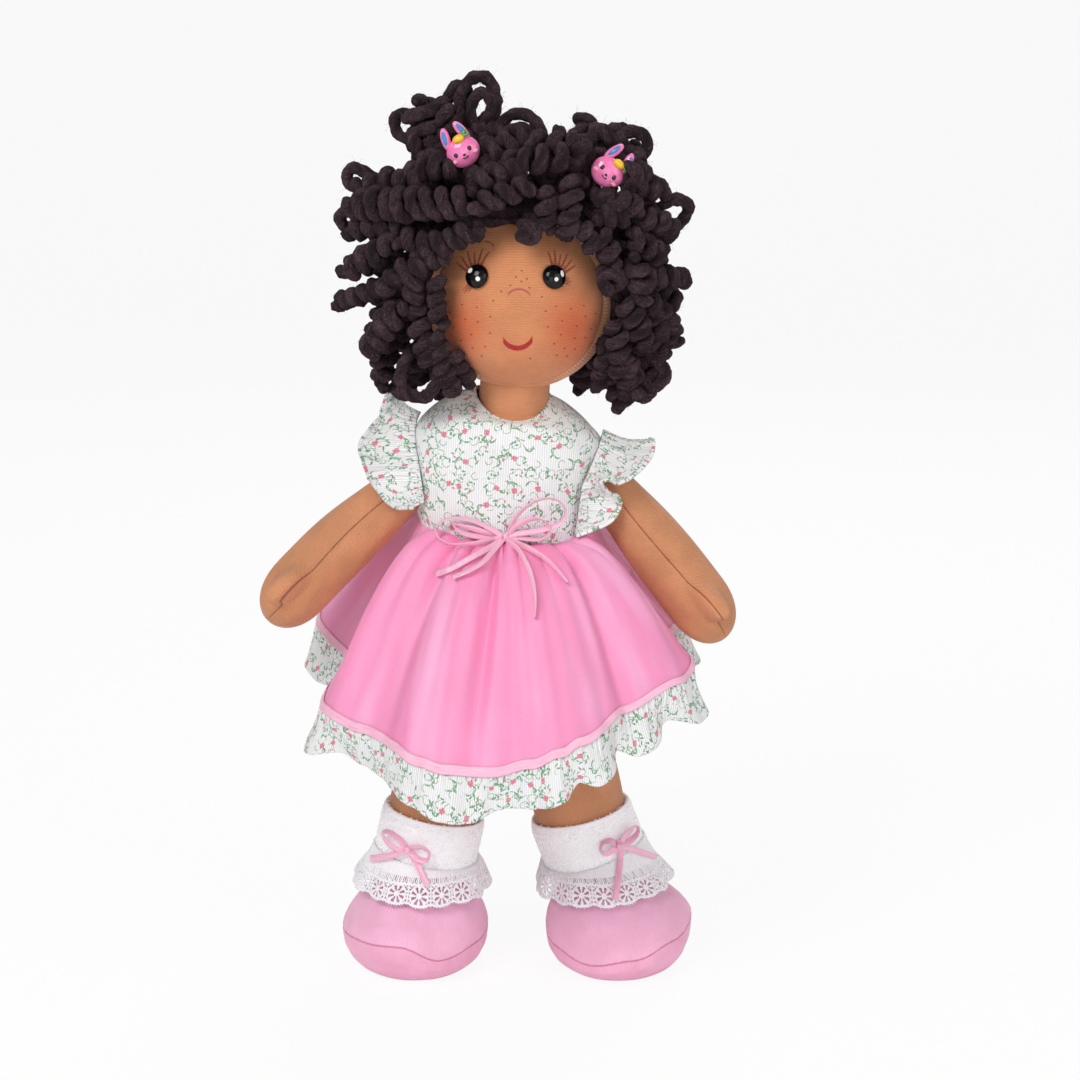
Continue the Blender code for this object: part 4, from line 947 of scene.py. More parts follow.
def foot_ring(side, level, width, t):
    """A slice of the stuffed foot: an oval as wide as the level asks, narrower at the heel. Near the seam's
    level
    the slices follow the seam up and down."""
    cx, cy = FEET[side]
    above = level >= FOOT_SEAM
    near = np.clip(1 - np.abs(level - FOOT_SEAM) / np.where(above, 0.030, FOOT_SEAM), 0, 1)
    rise = np.clip(level - FOOT_SEAM, 0, 1) / FOOT_HEIGHT
    ankle = leg_middle(side, np.array(0.05))[0]
    heel = 1 - 0.10 * np.clip(np.sin(t), 0, 1)
    x = cx + (ankle - cx) * rise ** 1.2 + 0.0375 * width * np.cos(t) * heel
    y = cy * (1 - rise) + 0.043 * width * np.sin(t)
    z = level + near * (by_direction(np.degrees(t), FOOT_SEAMS[side]) - FOOT_SEAM)
    return np.stack(np.broadcast_arrays(x, y, z), axis=-1)


# A foot's width at each height, as a share of its width at the seam: the upper part and the sole.
UPPER_LEVELS = np.array([0.0133, 0.0180, 0.0240, 0.0310, 0.0375, 0.0425, 0.0465])
UPPER_WIDTHS = np.array([1.0, 0.985, 0.935, 0.840, 0.710, 0.590, 0.470])
SOLE_LEVELS = np.array([0.0, 0.0012, 0.0040, 0.0080, 0.0130])
SOLE_WIDTHS = np.array([0.70, 0.79, 0.90, 0.975, 1.0])


def make_shoes(look):
    """The upper is gathered into the seam, so it puckers near it, and the puckers run out a few millimetres
    up."""
    upper = ribbed_pink("Shoe knit", look.shoe, look.shoe_seam_shade)
    under = ribbed_pink("Sole knit", look.sole, look.shoe_seam_shade)
    t = np.linspace(0, 2 * pi, 220, endpoint=False)[None]
    u = np.linspace(0, 250, 221)[None]
    for side in SIDES:
        z = 0.0133 + 0.0332 * np.linspace(0, 1, 64)[:, None] ** 1.35
        w = smooth_between(z, UPPER_LEVELS, UPPER_WIDTHS)
        away = (z - 0.0133) / MM
        pucker = soft_noise(34 * t + 0 * z, 3 + len(side), 5) * np.exp(-away / 2.6)
        w = w - 0.012 * np.exp(-away / 0.7) + 0.0075 * pucker
        part = skin(foot_ring(side, z, w, t), u, np.broadcast_to(away, (64, 221)))
        shoe = build("shoe_upper_" + side, [part], [upper], "leg_" + side, ("shoe_" + side,))
        z = 0.0130 * np.linspace(0, 1, 26)[:, None] ** 1.5
        w = smooth_between(z, SOLE_LEVELS, SOLE_WIDTHS)
        away = (0.0130 - z) / MM
        pucker = soft_noise(29 * t + 0 * z, 9 + len(side), 5) * np.exp(-away / 2.2)
        w = w - 0.010 * np.exp(-away / 0.7) + 0.005 * pucker
        part = skin(foot_ring(side, z, w, t), u, np.broadcast_to(away, (26, 221)))
        sole = build("shoe_sole_" + side, [part], [under], "leg_" + side, ("sole_" + side,))


def smooth_between(x, at, values):
    """Values between given ones without corners: straight pieces, then averaged over a short span."""
    dense = np.linspace(at[0], at[-1], 400)
    line = np.interp(dense, at, values)
    kernel = np.hanning(61)
    padded = np.concatenate([line[:1] - (line[1:31] - line[:1])[::-1], line,
                             line[-1:] - (line[-31:-1] - line[-1:])[::-1]])
    eased = np.convolve(padded, kernel / kernel.sum(), "valid")
    return np.interp(x, dense, eased)


def make_cuffs(look):
    """A padded band with rolled edges, covered with short clumps of pile: a small bent cone for each."""
    pile = plush_finish(look)
    t = np.linspace(0, 2 * pi, 140, endpoint=False)[None]
    for seed, side in enumerate(SIDES):
        a = np.linspace(0, 2 * pi, 44, endpoint=False)[:, None]
        z = (CUFF_TOP + CUFF_BOTTOM) / 2 + (CUFF_TOP - CUFF_BOTTOM) / 2 * np.sign(np.sin(a)) * np.abs(np.sin(a)) ** 0.8
        inner, outer = leg_radius(z) + 0.0004, 0.0262
        mid, half = (inner + outer) / 2, (outer - inner) / 2
        r = mid + half * np.sign(np.cos(a)) * np.abs(np.cos(a)) ** 0.5
        lump = soft_noise(t * 9 + 3 * np.sin(a), 5 + seed, 6) * soft_noise(a * 4 + 0 * t, 8 + seed, 4)
        r = r + 0.0004 * lump * np.clip(np.cos(a) * 3, 0, 1)
        band = skin(leg_ring(side, z * np.ones_like(t), r * np.ones_like(t), t), ring=True, caps=False)
        random = np.random.RandomState(40 + seed)
        count = 3200
        turn = random.uniform(0, 2 * pi, count)
        height = random.uniform(CUFF_BOTTOM + 0.0006, CUFF_TOP - 0.0002, count)
        edge = np.clip(np.minimum(height - CUFF_BOTTOM, CUFF_TOP - height) / 0.0035, 0, 1)
        base_r = 0.0262 - (1 - edge) ** 2 * 0.0032
        root = leg_ring(side, height, base_r, turn)
        middle = leg_middle(side, height)
        away = unit(root - middle)
        away[:, 2] += (1 - edge) * np.sign(height - 0.066) * 0.6
        swirl = random.normal(0, 0.55, (count, 3))
        clumps = tufts(root - away * 0.0004, away, swirl, random.uniform(0.0006, 0.0010, count),
                       random.uniform(0.00035, 0.00060, count))
        cuff = build("cuff_plush_" + side, [band, clumps], [pile], "leg_" + side,
                     ("cuff_" + side,))


def many(points, quads, tris, place):
    """One part from many like pieces: a row of points for each piece, and the faces of one. All have one
    place in
    the texture."""
    shift = (np.arange(len(points)) * points.shape[1])[:, None, None]
    quads = (quads[None] + shift).reshape(-1, 4)
    tris = (tris[None] + shift).reshape(-1, 3)
    quads_uv, tris_uv = np.full((len(quads), 4, 2), place), np.full((len(tris), 3, 2), place)
    return Part(points.reshape(-1, 3), quads, quads_uv, tris, tris_uv).turned_out()


def tufts(root, way, swirl, length, width):
    """Small bent cones: five sides, three rings and a tip, all worked out together."""
    way = unit(way + swirl * 0.35)
    side_way = unit(np.cross(way, unit(swirl + np.array((0.3, 0.2, 0.9)))))
    other = np.cross(way, side_way)
    turn = 2 * pi * np.arange(5) / 5
    rings = []
    for step, thin in ((0.0, 1.0), (0.45, 0.85), (0.8, 0.5)):
        centre = root + way * (length * step)[:, None] + side_way * (length * step ** 2 * 0.5)[:, None]
        ring = centre[:, None] + (side_way[:, None] * np.cos(turn)[:, None]
                                  + other[:, None] * np.sin(turn)[:, None]) \
            * (width * thin)[:, None, None]
        rings.append(ring)
    tip = (root + way * length[:, None] + side_way * (length * 0.5)[:, None])[:, None]
    foot = (root - way * (length * 0.2)[:, None])[:, None]
    points = np.concatenate([*rings, tip, foot], axis=1)
    k = np.arange(5)
    m = (k + 1) % 5
    quads = np.concatenate([np.stack([k + a, m + a, m + a + 5, k + a + 5], axis=1) for a in (0, 5)])
    tris = np.concatenate([np.stack([k + 10, m + 10, np.full(5, 15)], axis=1),
                           np.stack([m, k, np.full(5, 16)], axis=1)])
    return many(points, quads, tris, 0.0)


def lace_cells(u, v):
    """Where the lace has thread, over a place round (in scallops) and down (in millimetres): 1 for thread.
    A dense
    gathered top, a net of thin bars, a flower with eight petals in each scallop and a toothed edge."""
    period = 13.0
    x = (u - np.floor(u) - 0.5) * period
    y = v - 13.2
    r = np.hypot(x, y)
    turn = np.arctan2(y, x)
    net = (np.abs((x + y * 1.15) % 2.2 - 1.1) < 0.34) | (np.abs((x - y * 1.15) % 2.2 - 1.1) < 0.34)
    bars = (np.abs(v - 8.0) < 0.45) | (np.abs(x) > period / 2 - 0.45)
    petals = (r < 1.5) | ((r < 4.6) & (np.cos(turn * 8) > 0.15 - r * 0.06)) | (np.abs(r - 5.0) < 0.42)
    thread = np.where(r < 5.4, petals, net | bars)
    thread = np.where(v < 7.0, (np.abs(x % 1.3 - 0.65) > 0.2) | (v < 5.6), thread)
    edge = 18.9 - 1.5 * (np.abs(x) / (period / 2)) ** 2
    thread = np.where(np.abs(v - edge + 0.5) < 0.6, True, thread)
    return np.where(v > edge + 0.5 * (np.cos(x * 4.2) > 0), False, thread)


def lace_points(side, t, v):
    """A gathered frill from over the cuff's lower edge down the foot: its radius grows as it falls, with a
    wave for
    each second scallop."""
    (cx, cy), seed = FEET[side], len(side)
    gather = soft_noise(t * 23, 15 + seed, 5) * np.exp(-v / 0.22)
    wave = np.cos(t * LACE_SCALLOPS / 2 + 0.6 * np.sin(3 * t)) * v
    z = CUFF_BOTTOM + 0.0034 - 0.0205 * v * (0.76 - 0.12 * np.sin(t))
    over = np.clip((CUFF_BOTTOM - z) / FOOT_HEIGHT, 0, 1)[..., None]
    middle = leg_middle(side, np.maximum(z, 0.05)) * (1 - over) + over * np.array((cx, cy, 0.05))
    r = 0.0268 + 0.0092 * v ** 0.8 + 0.0011 * wave + 0.0005 * gather
    lean = {"left": -0.12, "right": 0.18}[side] * r * np.cos(t) * 0.5 * v
    points = np.stack([middle[..., 0] + r * np.cos(t), middle[..., 1] + r * np.sin(t) * 1.04, z + lean],
                      axis=-1)
    top = leg_ring(side, np.full_like(v, CUFF_BOTTOM + 0.0034), 0.0268 + 0.0005 * gather, -t)
    low = np.clip(v / 0.40, 0, 1)[..., None]
    low = low * low * (3 - 2 * low)
    return above_foot(side, top * (1 - low) + points * low)


def make_laces(look):
    """The thread grid keeps only the faces where the lace has thread."""
    cotton = lace_finish(look)
    columns, rows = LACE_SCALLOPS * 36, 62
    t = np.linspace(0, 2 * pi, columns, endpoint=False)[None]
    v = np.linspace(0, 1, rows)[:, None]
    u = np.linspace(0, LACE_SCALLOPS, columns + 1)
    mm_down = np.linspace(0, 20.5, rows)
    thread = lace_cells(*np.meshgrid((u[1:] + u[:-1]) / 2, (mm_down[1:] + mm_down[:-1]) / 2))
    for side in SIDES:
        part = skin(lace_points(side, t, v), u * 13.0, mm_down[:, None], caps=False, keep=thread > 0.5)
        lace = build("lace_frill_" + side, [part], [cotton], "leg_" + side,
                     ("lace_" + side,), 0.00055, False)


def above_foot(side, points):
    """Moves points of a cloth out of the foot: each goes to the foot's own radius at its height, and a
    little more."""
    cx, cy = FEET[side]
    turn = np.degrees(np.arctan2((points[..., 1] - cy) / 0.043, (points[..., 0] - cx) / 0.0375))
    lift = by_direction(turn, FOOT_SEAMS[side]) - FOOT_SEAM
    level = (points[..., 2] - lift * (1 + FOOT_SEAM / 0.030)) / (1 - lift / 0.030)
    level = np.clip(level, FOOT_SEAM, FOOT_HEIGHT)
    width = smooth_between(level, UPPER_LEVELS, UPPER_WIDTHS)
    rise = (level - FOOT_SEAM) / FOOT_HEIGHT
    ankle = leg_middle(side, np.array(0.05))[0]
    mx, my = cx + (ankle - cx) * rise ** 1.2, cy * (1 - rise)
    dx, dy = points[..., 0] - mx, points[..., 1] - my
    heel = 1 - 0.10 * np.clip(dy / 0.043, 0, 1)
    far = np.hypot(dx / (0.0375 * width * heel), dy / (0.043 * width))
    inside = np.where(level < FOOT_HEIGHT - 0.0001, np.maximum(1, 1.035 / np.maximum(far, 1e-6)), 1)
    out = points.copy()
    out[..., 0] = mx + dx * inside
    out[..., 1] = my + dy * inside
    return out


def ribbon(path, across, width, thick=0.0004):
    """A flat strip carried along a path, its width along the given direction: a closed loft of thin rounded
    rectangles, with the distance along it in its UV."""
    path = np.asarray(path, float)
    ahead = unit(np.gradient(path, axis=0))
    across = np.broadcast_to(across, path.shape)
    across = unit(across - ahead * np.sum(across * ahead, axis=1, keepdims=True))
    normal = np.cross(ahead, across)
    half, t = width / 2, thick / 2
    profile = ((-half, 0), (-half * 0.93, -t), (0, -t), (half * 0.93, -t), (half, 0), (half * 0.93, t),
               (0, t), (-half * 0.93, t))
    ring = np.stack([path + across * a + normal * b for a, b in profile], axis=1)
    u = np.array([p[0] for p in profile] + [profile[0][0]]) / MM
    return skin(ring, u, (lengths_along(path) / MM)[:, None])


def in_front(cloud, place):
    """How near a cloth's points come to the viewer at places in the picture's plane."""
    flat = cloud @ np.stack(VIEW[:2], axis=1)
    far = np.linalg.norm(flat[None] - place[:, None], axis=-1)
    best = np.where(far < 0.0024, cloud @ VIEW[2], -1.0).max(axis=1)
    found = np.flatnonzero(best > -0.9)
    return np.interp(np.arange(len(best)), found, best[found])


def bow_parts(knot, plans, cloud, width):
    """A tied bow. Each plan gives a ribbon's places in the picture's plane, in millimetres from the knot,
    the turns
    of its width along it, from 0 (flat to the viewer) to half pi (on edge), and how far it swells to the viewer."""
    right, up, near = VIEW
    centre = np.array((knot @ right, knot @ up))
    front = in_front(cloud, np.array([centre, centre]))[0] + 0.0020
    parts = []
    for points, turns, bulge in plans:
        place = through(np.array(points) * MM, 56)
        share = np.linspace(0, 1, 56)
        turn = np.interp(share, np.linspace(0, 1, len(turns)), turns)
        lift = 0.0008 + width / 2 * np.abs(np.sin(turn)) + bulge * MM * np.sin(pi * share)
        close = np.exp(-(np.linalg.norm(place, axis=1) / 0.0035) ** 2)
        deep = (in_front(cloud, centre + place) + lift) * (1 - close) + front * close
        for _ in range(8):
            deep[1:-1] = (deep[:-2] + 2 * deep[1:-1] + deep[2:]) / 4
        path = right * (centre[0] + place[:, :1]) + up * (centre[1] + place[:, 1:]) + near * deep[:, None]
        side = unit(np.cross(near, np.gradient(path, axis=0)))
        parts.append(ribbon(path, side * np.cos(turn)[:, None] + near * np.sin(turn)[:, None], width))
    wrap = np.linspace(0, 2 * pi, 26)[:, None]
    middle = right * centre[0] + up * centre[1] + near * front
    ring = middle + up * 0.0015 * np.cos(wrap) + near * 0.0014 * np.sin(wrap) + right * 0.0004 * np.sin(wrap
                                                                                                        / 2)
    parts.append(ribbon(ring, right, width * 0.8, 0.0006))
    return parts


WAIST_BOW = (
    (
        (
            (1.5, 3), (5.9, 10.4), (11.1, 15.2), (16.3, 18), (22.3, 18.7), (26.7, 17.1), (29.3, 13.4),
            (28.9, 9.6), (26, 6.3), (20.8, 4.3), (13.4, 2.6), (5.9, 1.5), (0.7, 0),
        ),
        (0.99, 1.1, 1.3, 1.4, 0.6, 0.3, 0.4), 4,
    ),
    (
        (
            (0.7, 0.4), (4.5, 4.8), (8.9, 7.4), (14.1, 8.8), (18.6, 8), (21.4, 5.2), (20.9, 1.9),
            (18.6, -0.4), (14.8, -1.3), (8.9, -0.6), (4.5, -0.1), (0.7, -0.1),
        ),
        (0.3, 0.4, 1.35, 1.2, 0.8, 0.6), 3,
    ),
    (
        (
            (-0.7, 0), (-5.9, 3.3), (-11.9, 6.5), (-17.8, 8.5), (-24.5, 9.3), (-30.4, 8), (-33.8, 5.2),
            (-34.1, 1.9), (-31.2, -1.5), (-26, -3.6), (-19.3, -3.7), (-11.9, -2.6), (-5.2, -1.1),
            (-0.7, -0.4),
        ),
        (0.3, 0.7, 1.1, 1.35, 1.3, 0.7, 0.4), 3,
    ),
    (
        (
            (-1.1, -0.1), (-8.9, -0.1), (-16.3, 0.7), (-20.8, 2.2), (-24.9, 5.3), (-24.1, 5.9),
            (-20.8, 5.2), (-14.8, 3.7), (-8.2, 1.9), (-1.1, 0.1),
        ),
        (0.35, 0.35, 1.2, 0.35, 0.35), 2,
    ),
    (
        ((0, 0), (-1.5, -0.7), (-5.9, -4.1), (-11.9, -7.4), (-18.5, -11.1), (-26, -15.2), (-33.5, -18)),
        (0.2, 0.4), 1,
    ),
    (
        (
            (0, 0), (-1.1, -1.1), (-5.2, -5.9), (-10.4, -11.9), (-14.8, -14.8), (-19.3, -17.1),
            (-25.2, -19.3),
        ),
        (0.5, 0.9), 0.6,
    ),
    (
        ((0, 0), (1.5, -1.1), (8.2, -4.1), (14.1, -7), (19.3, -10.4), (24.5, -15.2), (30.1, -21.9)),
        (0.3, 0.6, 1.1), 1,
    ),
    (
        (
            (0, 0), (1.5, -1.9), (5.9, -5.6), (9.6, -11.1), (12.6, -18.5), (14.1, -26), (14.5, -31.9),
            (14.2, -38.2),
        ),
        (0.9, 0.7, 1.3), 0.6,
    ),
)
SOCK_BOWS = {
    "left": (
        (-0.0503, -0.03, 0.0672),
        (
            (
                (
                    (-0.5, 0.3), (-3.6, 5), (-8.8, 8.4), (-12.6, 8), (-11.6, 4.6), (-7.4, 1), (-3, -0.8),
                    (-0.4, -0.2),
                ),
                (0.3, 0.8, 1.2, 0.5, 0.3), 2,
            ),
            (
                (
                    (0.6, 0.2), (4.4, 1.4), (8.6, 1), (11.2, -1.6), (10.2, -5), (6.2, -5), (2.8, -2.6),
                    (0.5, -0.3),
                ),
                (0.4, 0.9, 1.2, 0.5, 0.3), 1.5,
            ),
            (((0, 0), (-4.5, -2), (-9.3, -3.7), (-19.5, -6.1)), (0.2, 0.5), 0.6),
            (((0, 0), (1.7, -2.4), (5.4, -8.4), (10.2, -17.6)), (0.3, 0.2), 0.4),
        ),
    ),
    "right": (
        (0.0562, -0.0285, 0.0687),
        (
            (
                (
                    (-0.5, 0.2), (-4.2, 2.6), (-8.2, 1.8), (-9.2, -1.6), (-6.4, -3.8), (-3, -2.4),
                    (-0.4, -0.3),
                ),
                (0.4, 0.9, 1.2, 0.5, 0.3), 1.5,
            ),
            (
                ((0.5, 0.4), (3.8, 5.2), (8, 8.6), (10, 7.6), (8.4, 4.2), (4.2, 1.2), (0.5, -0.2)),
                (0.3, 0.8, 1.2, 0.5, 0.3), 1.5,
            ),
            (((0, 0), (4.7, -1.6), (11, -4.1), (19.5, -7.8)), (0.2, 0.6), 0.6),
            (((0, 0), (0.6, -3.7), (0.2, -11.5), (-2, -26.1)), (0.3, 0.2), 0.4),
        ),
    ),
}


def make_bows(look):
    ribbon_pink = satin("Bow satin", look.ribbon)
    angle = np.linspace(-75, 75, 260)[None]
    cloth = np.concatenate([skirt_points(angle, np.linspace(0, 1, 90)[:, None]).reshape(-1, 3),
                            eased_path(bodice_rings()[0], 10).reshape(-1, 3)])
    parts = bow_parts(np.array((-0.0004, -0.0325, 0.2290)), WAIST_BOW, cloth, 0.0030)
    build("waist_bow_ribbon", parts, [ribbon_pink], "torso", ("waist_bow",))
    t = np.linspace(pi, 2 * pi, 120)[None]
    for side, (knot, plans) in SOCK_BOWS.items():
        z = np.linspace(CUFF_BOTTOM, CUFF_TOP, 40)[:, None]
        cloth = np.concatenate([leg_ring(side, z * np.ones_like(t), 0.0268, -t).reshape(-1, 3),
                                lace_points(side, t, np.linspace(0, 1, 40)[:, None]).reshape(-1, 3)])
        parts = bow_parts(np.array(knot), plans, cloth, 0.0033)
        build("sock_bow_ribbon_" + side, parts, [ribbon_pink], "leg_" + side,
              ("sock_bow_" + side,))
# The waist seam's height by direction, in degrees from the front: it dips towards the right of the front.
WAIST_SEAM = (
    (-180, 0.2335), (-120, 0.2345), (-90, 0.235), (-60, 0.23), (-37, 0.2268), (0, 0.226), (32, 0.2244),
    (47, 0.2238), (60, 0.2262), (75, 0.23), (92, 0.2325), (120, 0.2335), (180, 0.2335),
)
# Large folds of the skirt by direction, in millimetres out from its plain form.
SKIRT_FOLDS = (
    (-180, 2), (-160, -2), (-138, 2.2), (-112, -1), (-78, 0.6), (-58, 2.2), (-44, 1.6), (-35, -4.2),
    (-28, 1.6), (-18, 2.6), (-11, 1.6), (-6, -5), (-1, 2.6), (10, 3.4), (24, 1.4), (34, 3.2), (41, -4),
    (47, 2.4), (57, 2.8), (67, -1.4), (78, 0), (104, -3), (128, -1.5), (152, -2.2), (180, 2),
)
# The hem's height by direction: low in front, and lowest a little to the left of it.
HEM_LINE = (
    (-180, 0.175), (-150, 0.174), (-117, 0.17), (-90, 0.158), (-62, 0.1439), (-48, 0.1392), (-33, 0.1363),
    (-23, 0.132), (-16, 0.1291), (-3, 0.1277), (7, 0.132), (15, 0.1378), (20, 0.1425), (37, 0.1528),
    (54, 0.1619), (70, 0.17), (90, 0.173), (120, 0.172), (180, 0.175),
)
# The frill's ruffles by direction: 1 where one swings out and hangs lowest, -1 between two.
RUFFLES = (
    (-180, 1), (-168, -1), (-156, 1), (-143, -1), (-130, 1), (-118, -1), (-106, 1), (-94, -1), (-80, 0.5),
    (-68, 1.4), (-57, -1.3), (-40, -0.8), (-27, -0.2), (-15, 1.7), (-4, -1.1), (6, -0.3), (10, 0.7),
    (17, -0.8), (24, 1.2), (31, -1), (38, 1.2), (48, -1.1), (58, 1.2), (65, -0.8), (72, 1), (84, -1),
    (97, 1), (110, -1), (123, 1), (137, -1), (150, 1), (165, -1), (180, 1),
)


def by_direction(angle, plan):
    """A value in each direction from a list of turning points, eased between each two of them."""
    plan = np.array(plan, float)
    angle = (angle + 180) % 360 - 180
    k = np.clip(np.searchsorted(plan[:, 0], angle) - 1, 0, len(plan) - 2)
    t = (1 - np.cos(pi * (angle - plan[k, 0]) / (plan[k + 1, 0] - plan[k, 0]))) / 2
    return plan[k, 1] + (plan[k + 1, 1] - plan[k, 1]) * t


def bodice_rings():
    """The bodice's ring at each of eight levels, from the waist seam over the bust to the shoulders and the
    round
    neckline: each is an oval made squarer by a power, and all lean up to the doll's right."""
    t = pi / 2 + np.linspace(0, 2 * pi, 240, endpoint=False)
    front = np.clip(-np.sin(t), 0, 1)
    back = np.clip(np.sin(t), 0, 1)
    waist = by_direction(np.degrees(np.arctan2(np.cos(t), -np.sin(t))), WAIST_SEAM)
    levels = (
        (0.0435, 0.0281, 0.92, -0.0005, waist - 0.0006), (0.0440, 0.0284, 0.90, -0.0005,
                                                          (waist + 0.2460) / 2),
        (0.0446, 0.0286, 0.86, -0.0003, 0.2540), (0.0455, 0.0280, 0.82, 0.0005, 0.2660),
        (0.0450, 0.0266, 0.82, 0.0010, 0.2755), (0.0372, 0.0250, 0.86, 0.0016, 0.2842 - 0.0022 * front),
        (0.0268, 0.0226, 0.94, 0.0022, 0.2916 - 0.0080 * front - 0.0014 * back),
        (0.0190, 0.0205, 1.0, 0.0028, 0.2952 - 0.0118 * front - 0.0016 * back),
    )
    rings = []
    for wide, deep, power, middle, z in levels:
        x = wide * np.sign(np.cos(t)) * np.abs(np.cos(t)) ** power
        y = deep * np.sign(np.sin(t)) * np.abs(np.sin(t)) ** power
        lean = 0.10 * np.clip((z - 0.2540) / 0.03, 0, 1)
        rings.append(np.stack([middle + x, y, z - lean * x + 0 * t], axis=-1))
    return np.array(rings), t


def make_bodice(look):
    """The dress top, carried smoothly through its rings, with soft gathers over the waist and drag lines
    from the
    armholes. At the neckline the cloth is turned in and down for two millimetres."""
    cotton = printed_cotton("Bodice cotton", look)
    rings, t = bodice_rings()
    points = eased_path(rings, 14)
    rise = np.linspace(0, 1, len(points))[:, None]
    gather = soft_noise(27 * t + 0 * rise, 21, 5) * np.exp(-rise / 0.10) * 0.0005
    fold = soft_noise(3 * t + 4.0 * rise, 22, 4) * 0.0007 * np.sin(pi * rise) ** 0.6
    out = unit(np.stack([np.cos(t) / 1.5, np.sin(t), 0 * t], axis=-1))
    points = points + out * (gather + fold)[..., None]
    for pivot, _ in ARMS.values():
        points = pushed_out(points, pivot, 0.0151)
    inward = np.stack([-np.cos(t), -np.sin(t), 0 * t], axis=-1)
    turned = [points[-1] + inward * a + np.array((0, 0, b)) for a, b in
              ((0.0003, 0.0004), (0.0007, 0.0004), (0.0009, -0.0001), (0.0009, -0.0020))]
    points = np.concatenate([points, turned])
    middle = (points[:-1] + points[1:]) / 2
    middle = (middle + np.roll(middle, -1, axis=1)) / 2
    keep = np.ones(middle.shape[:2], bool)
    for pivot, _ in ARMS.values():
        keep &= np.linalg.norm(middle - pivot, axis=-1) > 0.01512
    step = np.linalg.norm(np.diff(points, axis=1, append=points[:, :1]), axis=-1) / MM
    around = np.cumsum(np.concatenate([np.zeros((len(points), 1)), step], axis=1), axis=1)
    fall = np.linalg.norm(np.diff(points, axis=0, prepend=points[:1]), axis=-1).cumsum(axis=0) / MM
    down = np.concatenate([fall, fall[:, :1]], axis=1)
    part = skin(points, around - around[:, 120:121], down, caps=False, keep=keep).flipped()
    bodice = build("bodice_cloth", [part], [cotton], "torso", ("bodice",), 0.0008)


# Each sleeve's seam, from the back of the waist over the shoulder to the front, and under each point the
# place where
# its frill ends, in millimetres.
SLEEVE_SEAMS = {
    "left": (
        (-36, 19, 236), (-40, 20, 249), (-43, 17, 262), (-45.5, 10, 274), (-43, 2, 284), (-44.5, -3, 282),
        (-45, -7, 276), (-44.3, -11, 268), (-43, -14, 261), (-41.8, -16, 254), (-41, -17, 248),
        (-40.5, -17.5, 243),
    ),
    "right": (
        (37, 20, 233), (39, 21, 246), (42, 19, 258), (46, 12, 268), (47.8, 2, 275.5), (46.4, -8, 272),
        (43.6, -14.5, 265.5), (40, -19, 257.5), (37.2, -21.5, 251.5), (36.2, -22.8, 245), (35.2, -23, 238),
        (33.8, -22, 229.5),
    ),
}
SLEEVE_EDGES = {
    "left": (
        (-38, 22, 234), (-56, 25, 238), (-64, 23, 254), (-64, 16, 277), (-58, 8, 296), (-58, -3, 288.5),
        (-66, -11, 280), (-72, -14, 271), (-69, -20, 261), (-66, -17, 253), (-56, -21, 242),
        (-46, -19, 240.5),
    ),
    "right": (
        (38, 23, 231), (53, 25, 241), (60, 23, 252), (67, 15, 263), (72, 2, 271.5), (71, -12, 264.5),
        (59, -25, 256), (47, -33, 257), (49.5, -27, 250.5), (56, -20, 244), (51, -23, 234.5),
        (34.6, -24, 227.5),
    ),
}


def sleeve_points(side):
    """A flutter sleeve: a strip from the armhole's seam to a longer edge, so that it falls in ruffles. Its
    width
    bows upwards, fine gathers fan out from the seam, and small waves grow towards the edge."""
    seam = eased_path(np.array(SLEEVE_SEAMS[side]) * MM, 26)[None]
    edge = eased_path(np.array(SLEEVE_EDGES[side]) * MM, 26)[None]
    v = np.linspace(0, 1, 40)[:, None]
    s = np.linspace(0, 1, seam.shape[1])[None]
    points = seam + (edge - seam) * (v ** 0.92)[..., None]
    wide = np.linalg.norm(edge - seam, axis=-1)
    up = unit(np.cross(np.gradient(edge[0], axis=0), (edge - seam)[0]))[None] * SIDES[side]
    seed = 31 if side == "left" else 37
    bow = 0.10 * wide * np.sin(pi * v)
    gather = 0.0008 * soft_noise(s * 95 + 0 * v, seed + 1, 5) * np.exp(-v / 0.40)
    wave = 0.0011 * soft_noise(s * 30 + 0.8 * v, seed, 5) * np.clip(wide / 0.020, 0, 1) * v ** 1.4
    points = points - up * (bow + gather + wave)[..., None]
    return clear_of_arm(side, points), v, s


def clear_of_arm(side, points):
    """Points of a cloth that would lie in the arm are moved straight out of it."""
    pivot, tip = ARMS[side]
    line = tip - pivot
    s = np.clip(np.sum((points - pivot) * line, axis=-1) / np.sum(line ** 2), 0, 1)[..., None]
    radius = 0.0120 + 0.0043 * np.sin(pi / 2 * np.clip(s / 0.58, 0, 1)) ** 1.5 + 0.0012
    return pushed_out(points, pivot + line * s, radius)


def make_sleeves(look):
    cotton = printed_cotton("Sleeve cotton", look)
    for side, sign in SIDES.items():
        points, v, _ = sleeve_points(side)
        u = lengths_along((points[-1] + points[0]) / 2) / MM * 1.25
        part = skin(points, u[None], v * 24.0, wrap=False, caps=False)
        rim = points[-1]
        lip = tube(rim, unit(rim - points[-3]), 0.00055, 8)
        sleeve = build("sleeve_frill_" + side, [part, lip], [cotton], None,
                       ("sleeve_" + side,), 0.0007, False)
        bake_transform(sleeve)


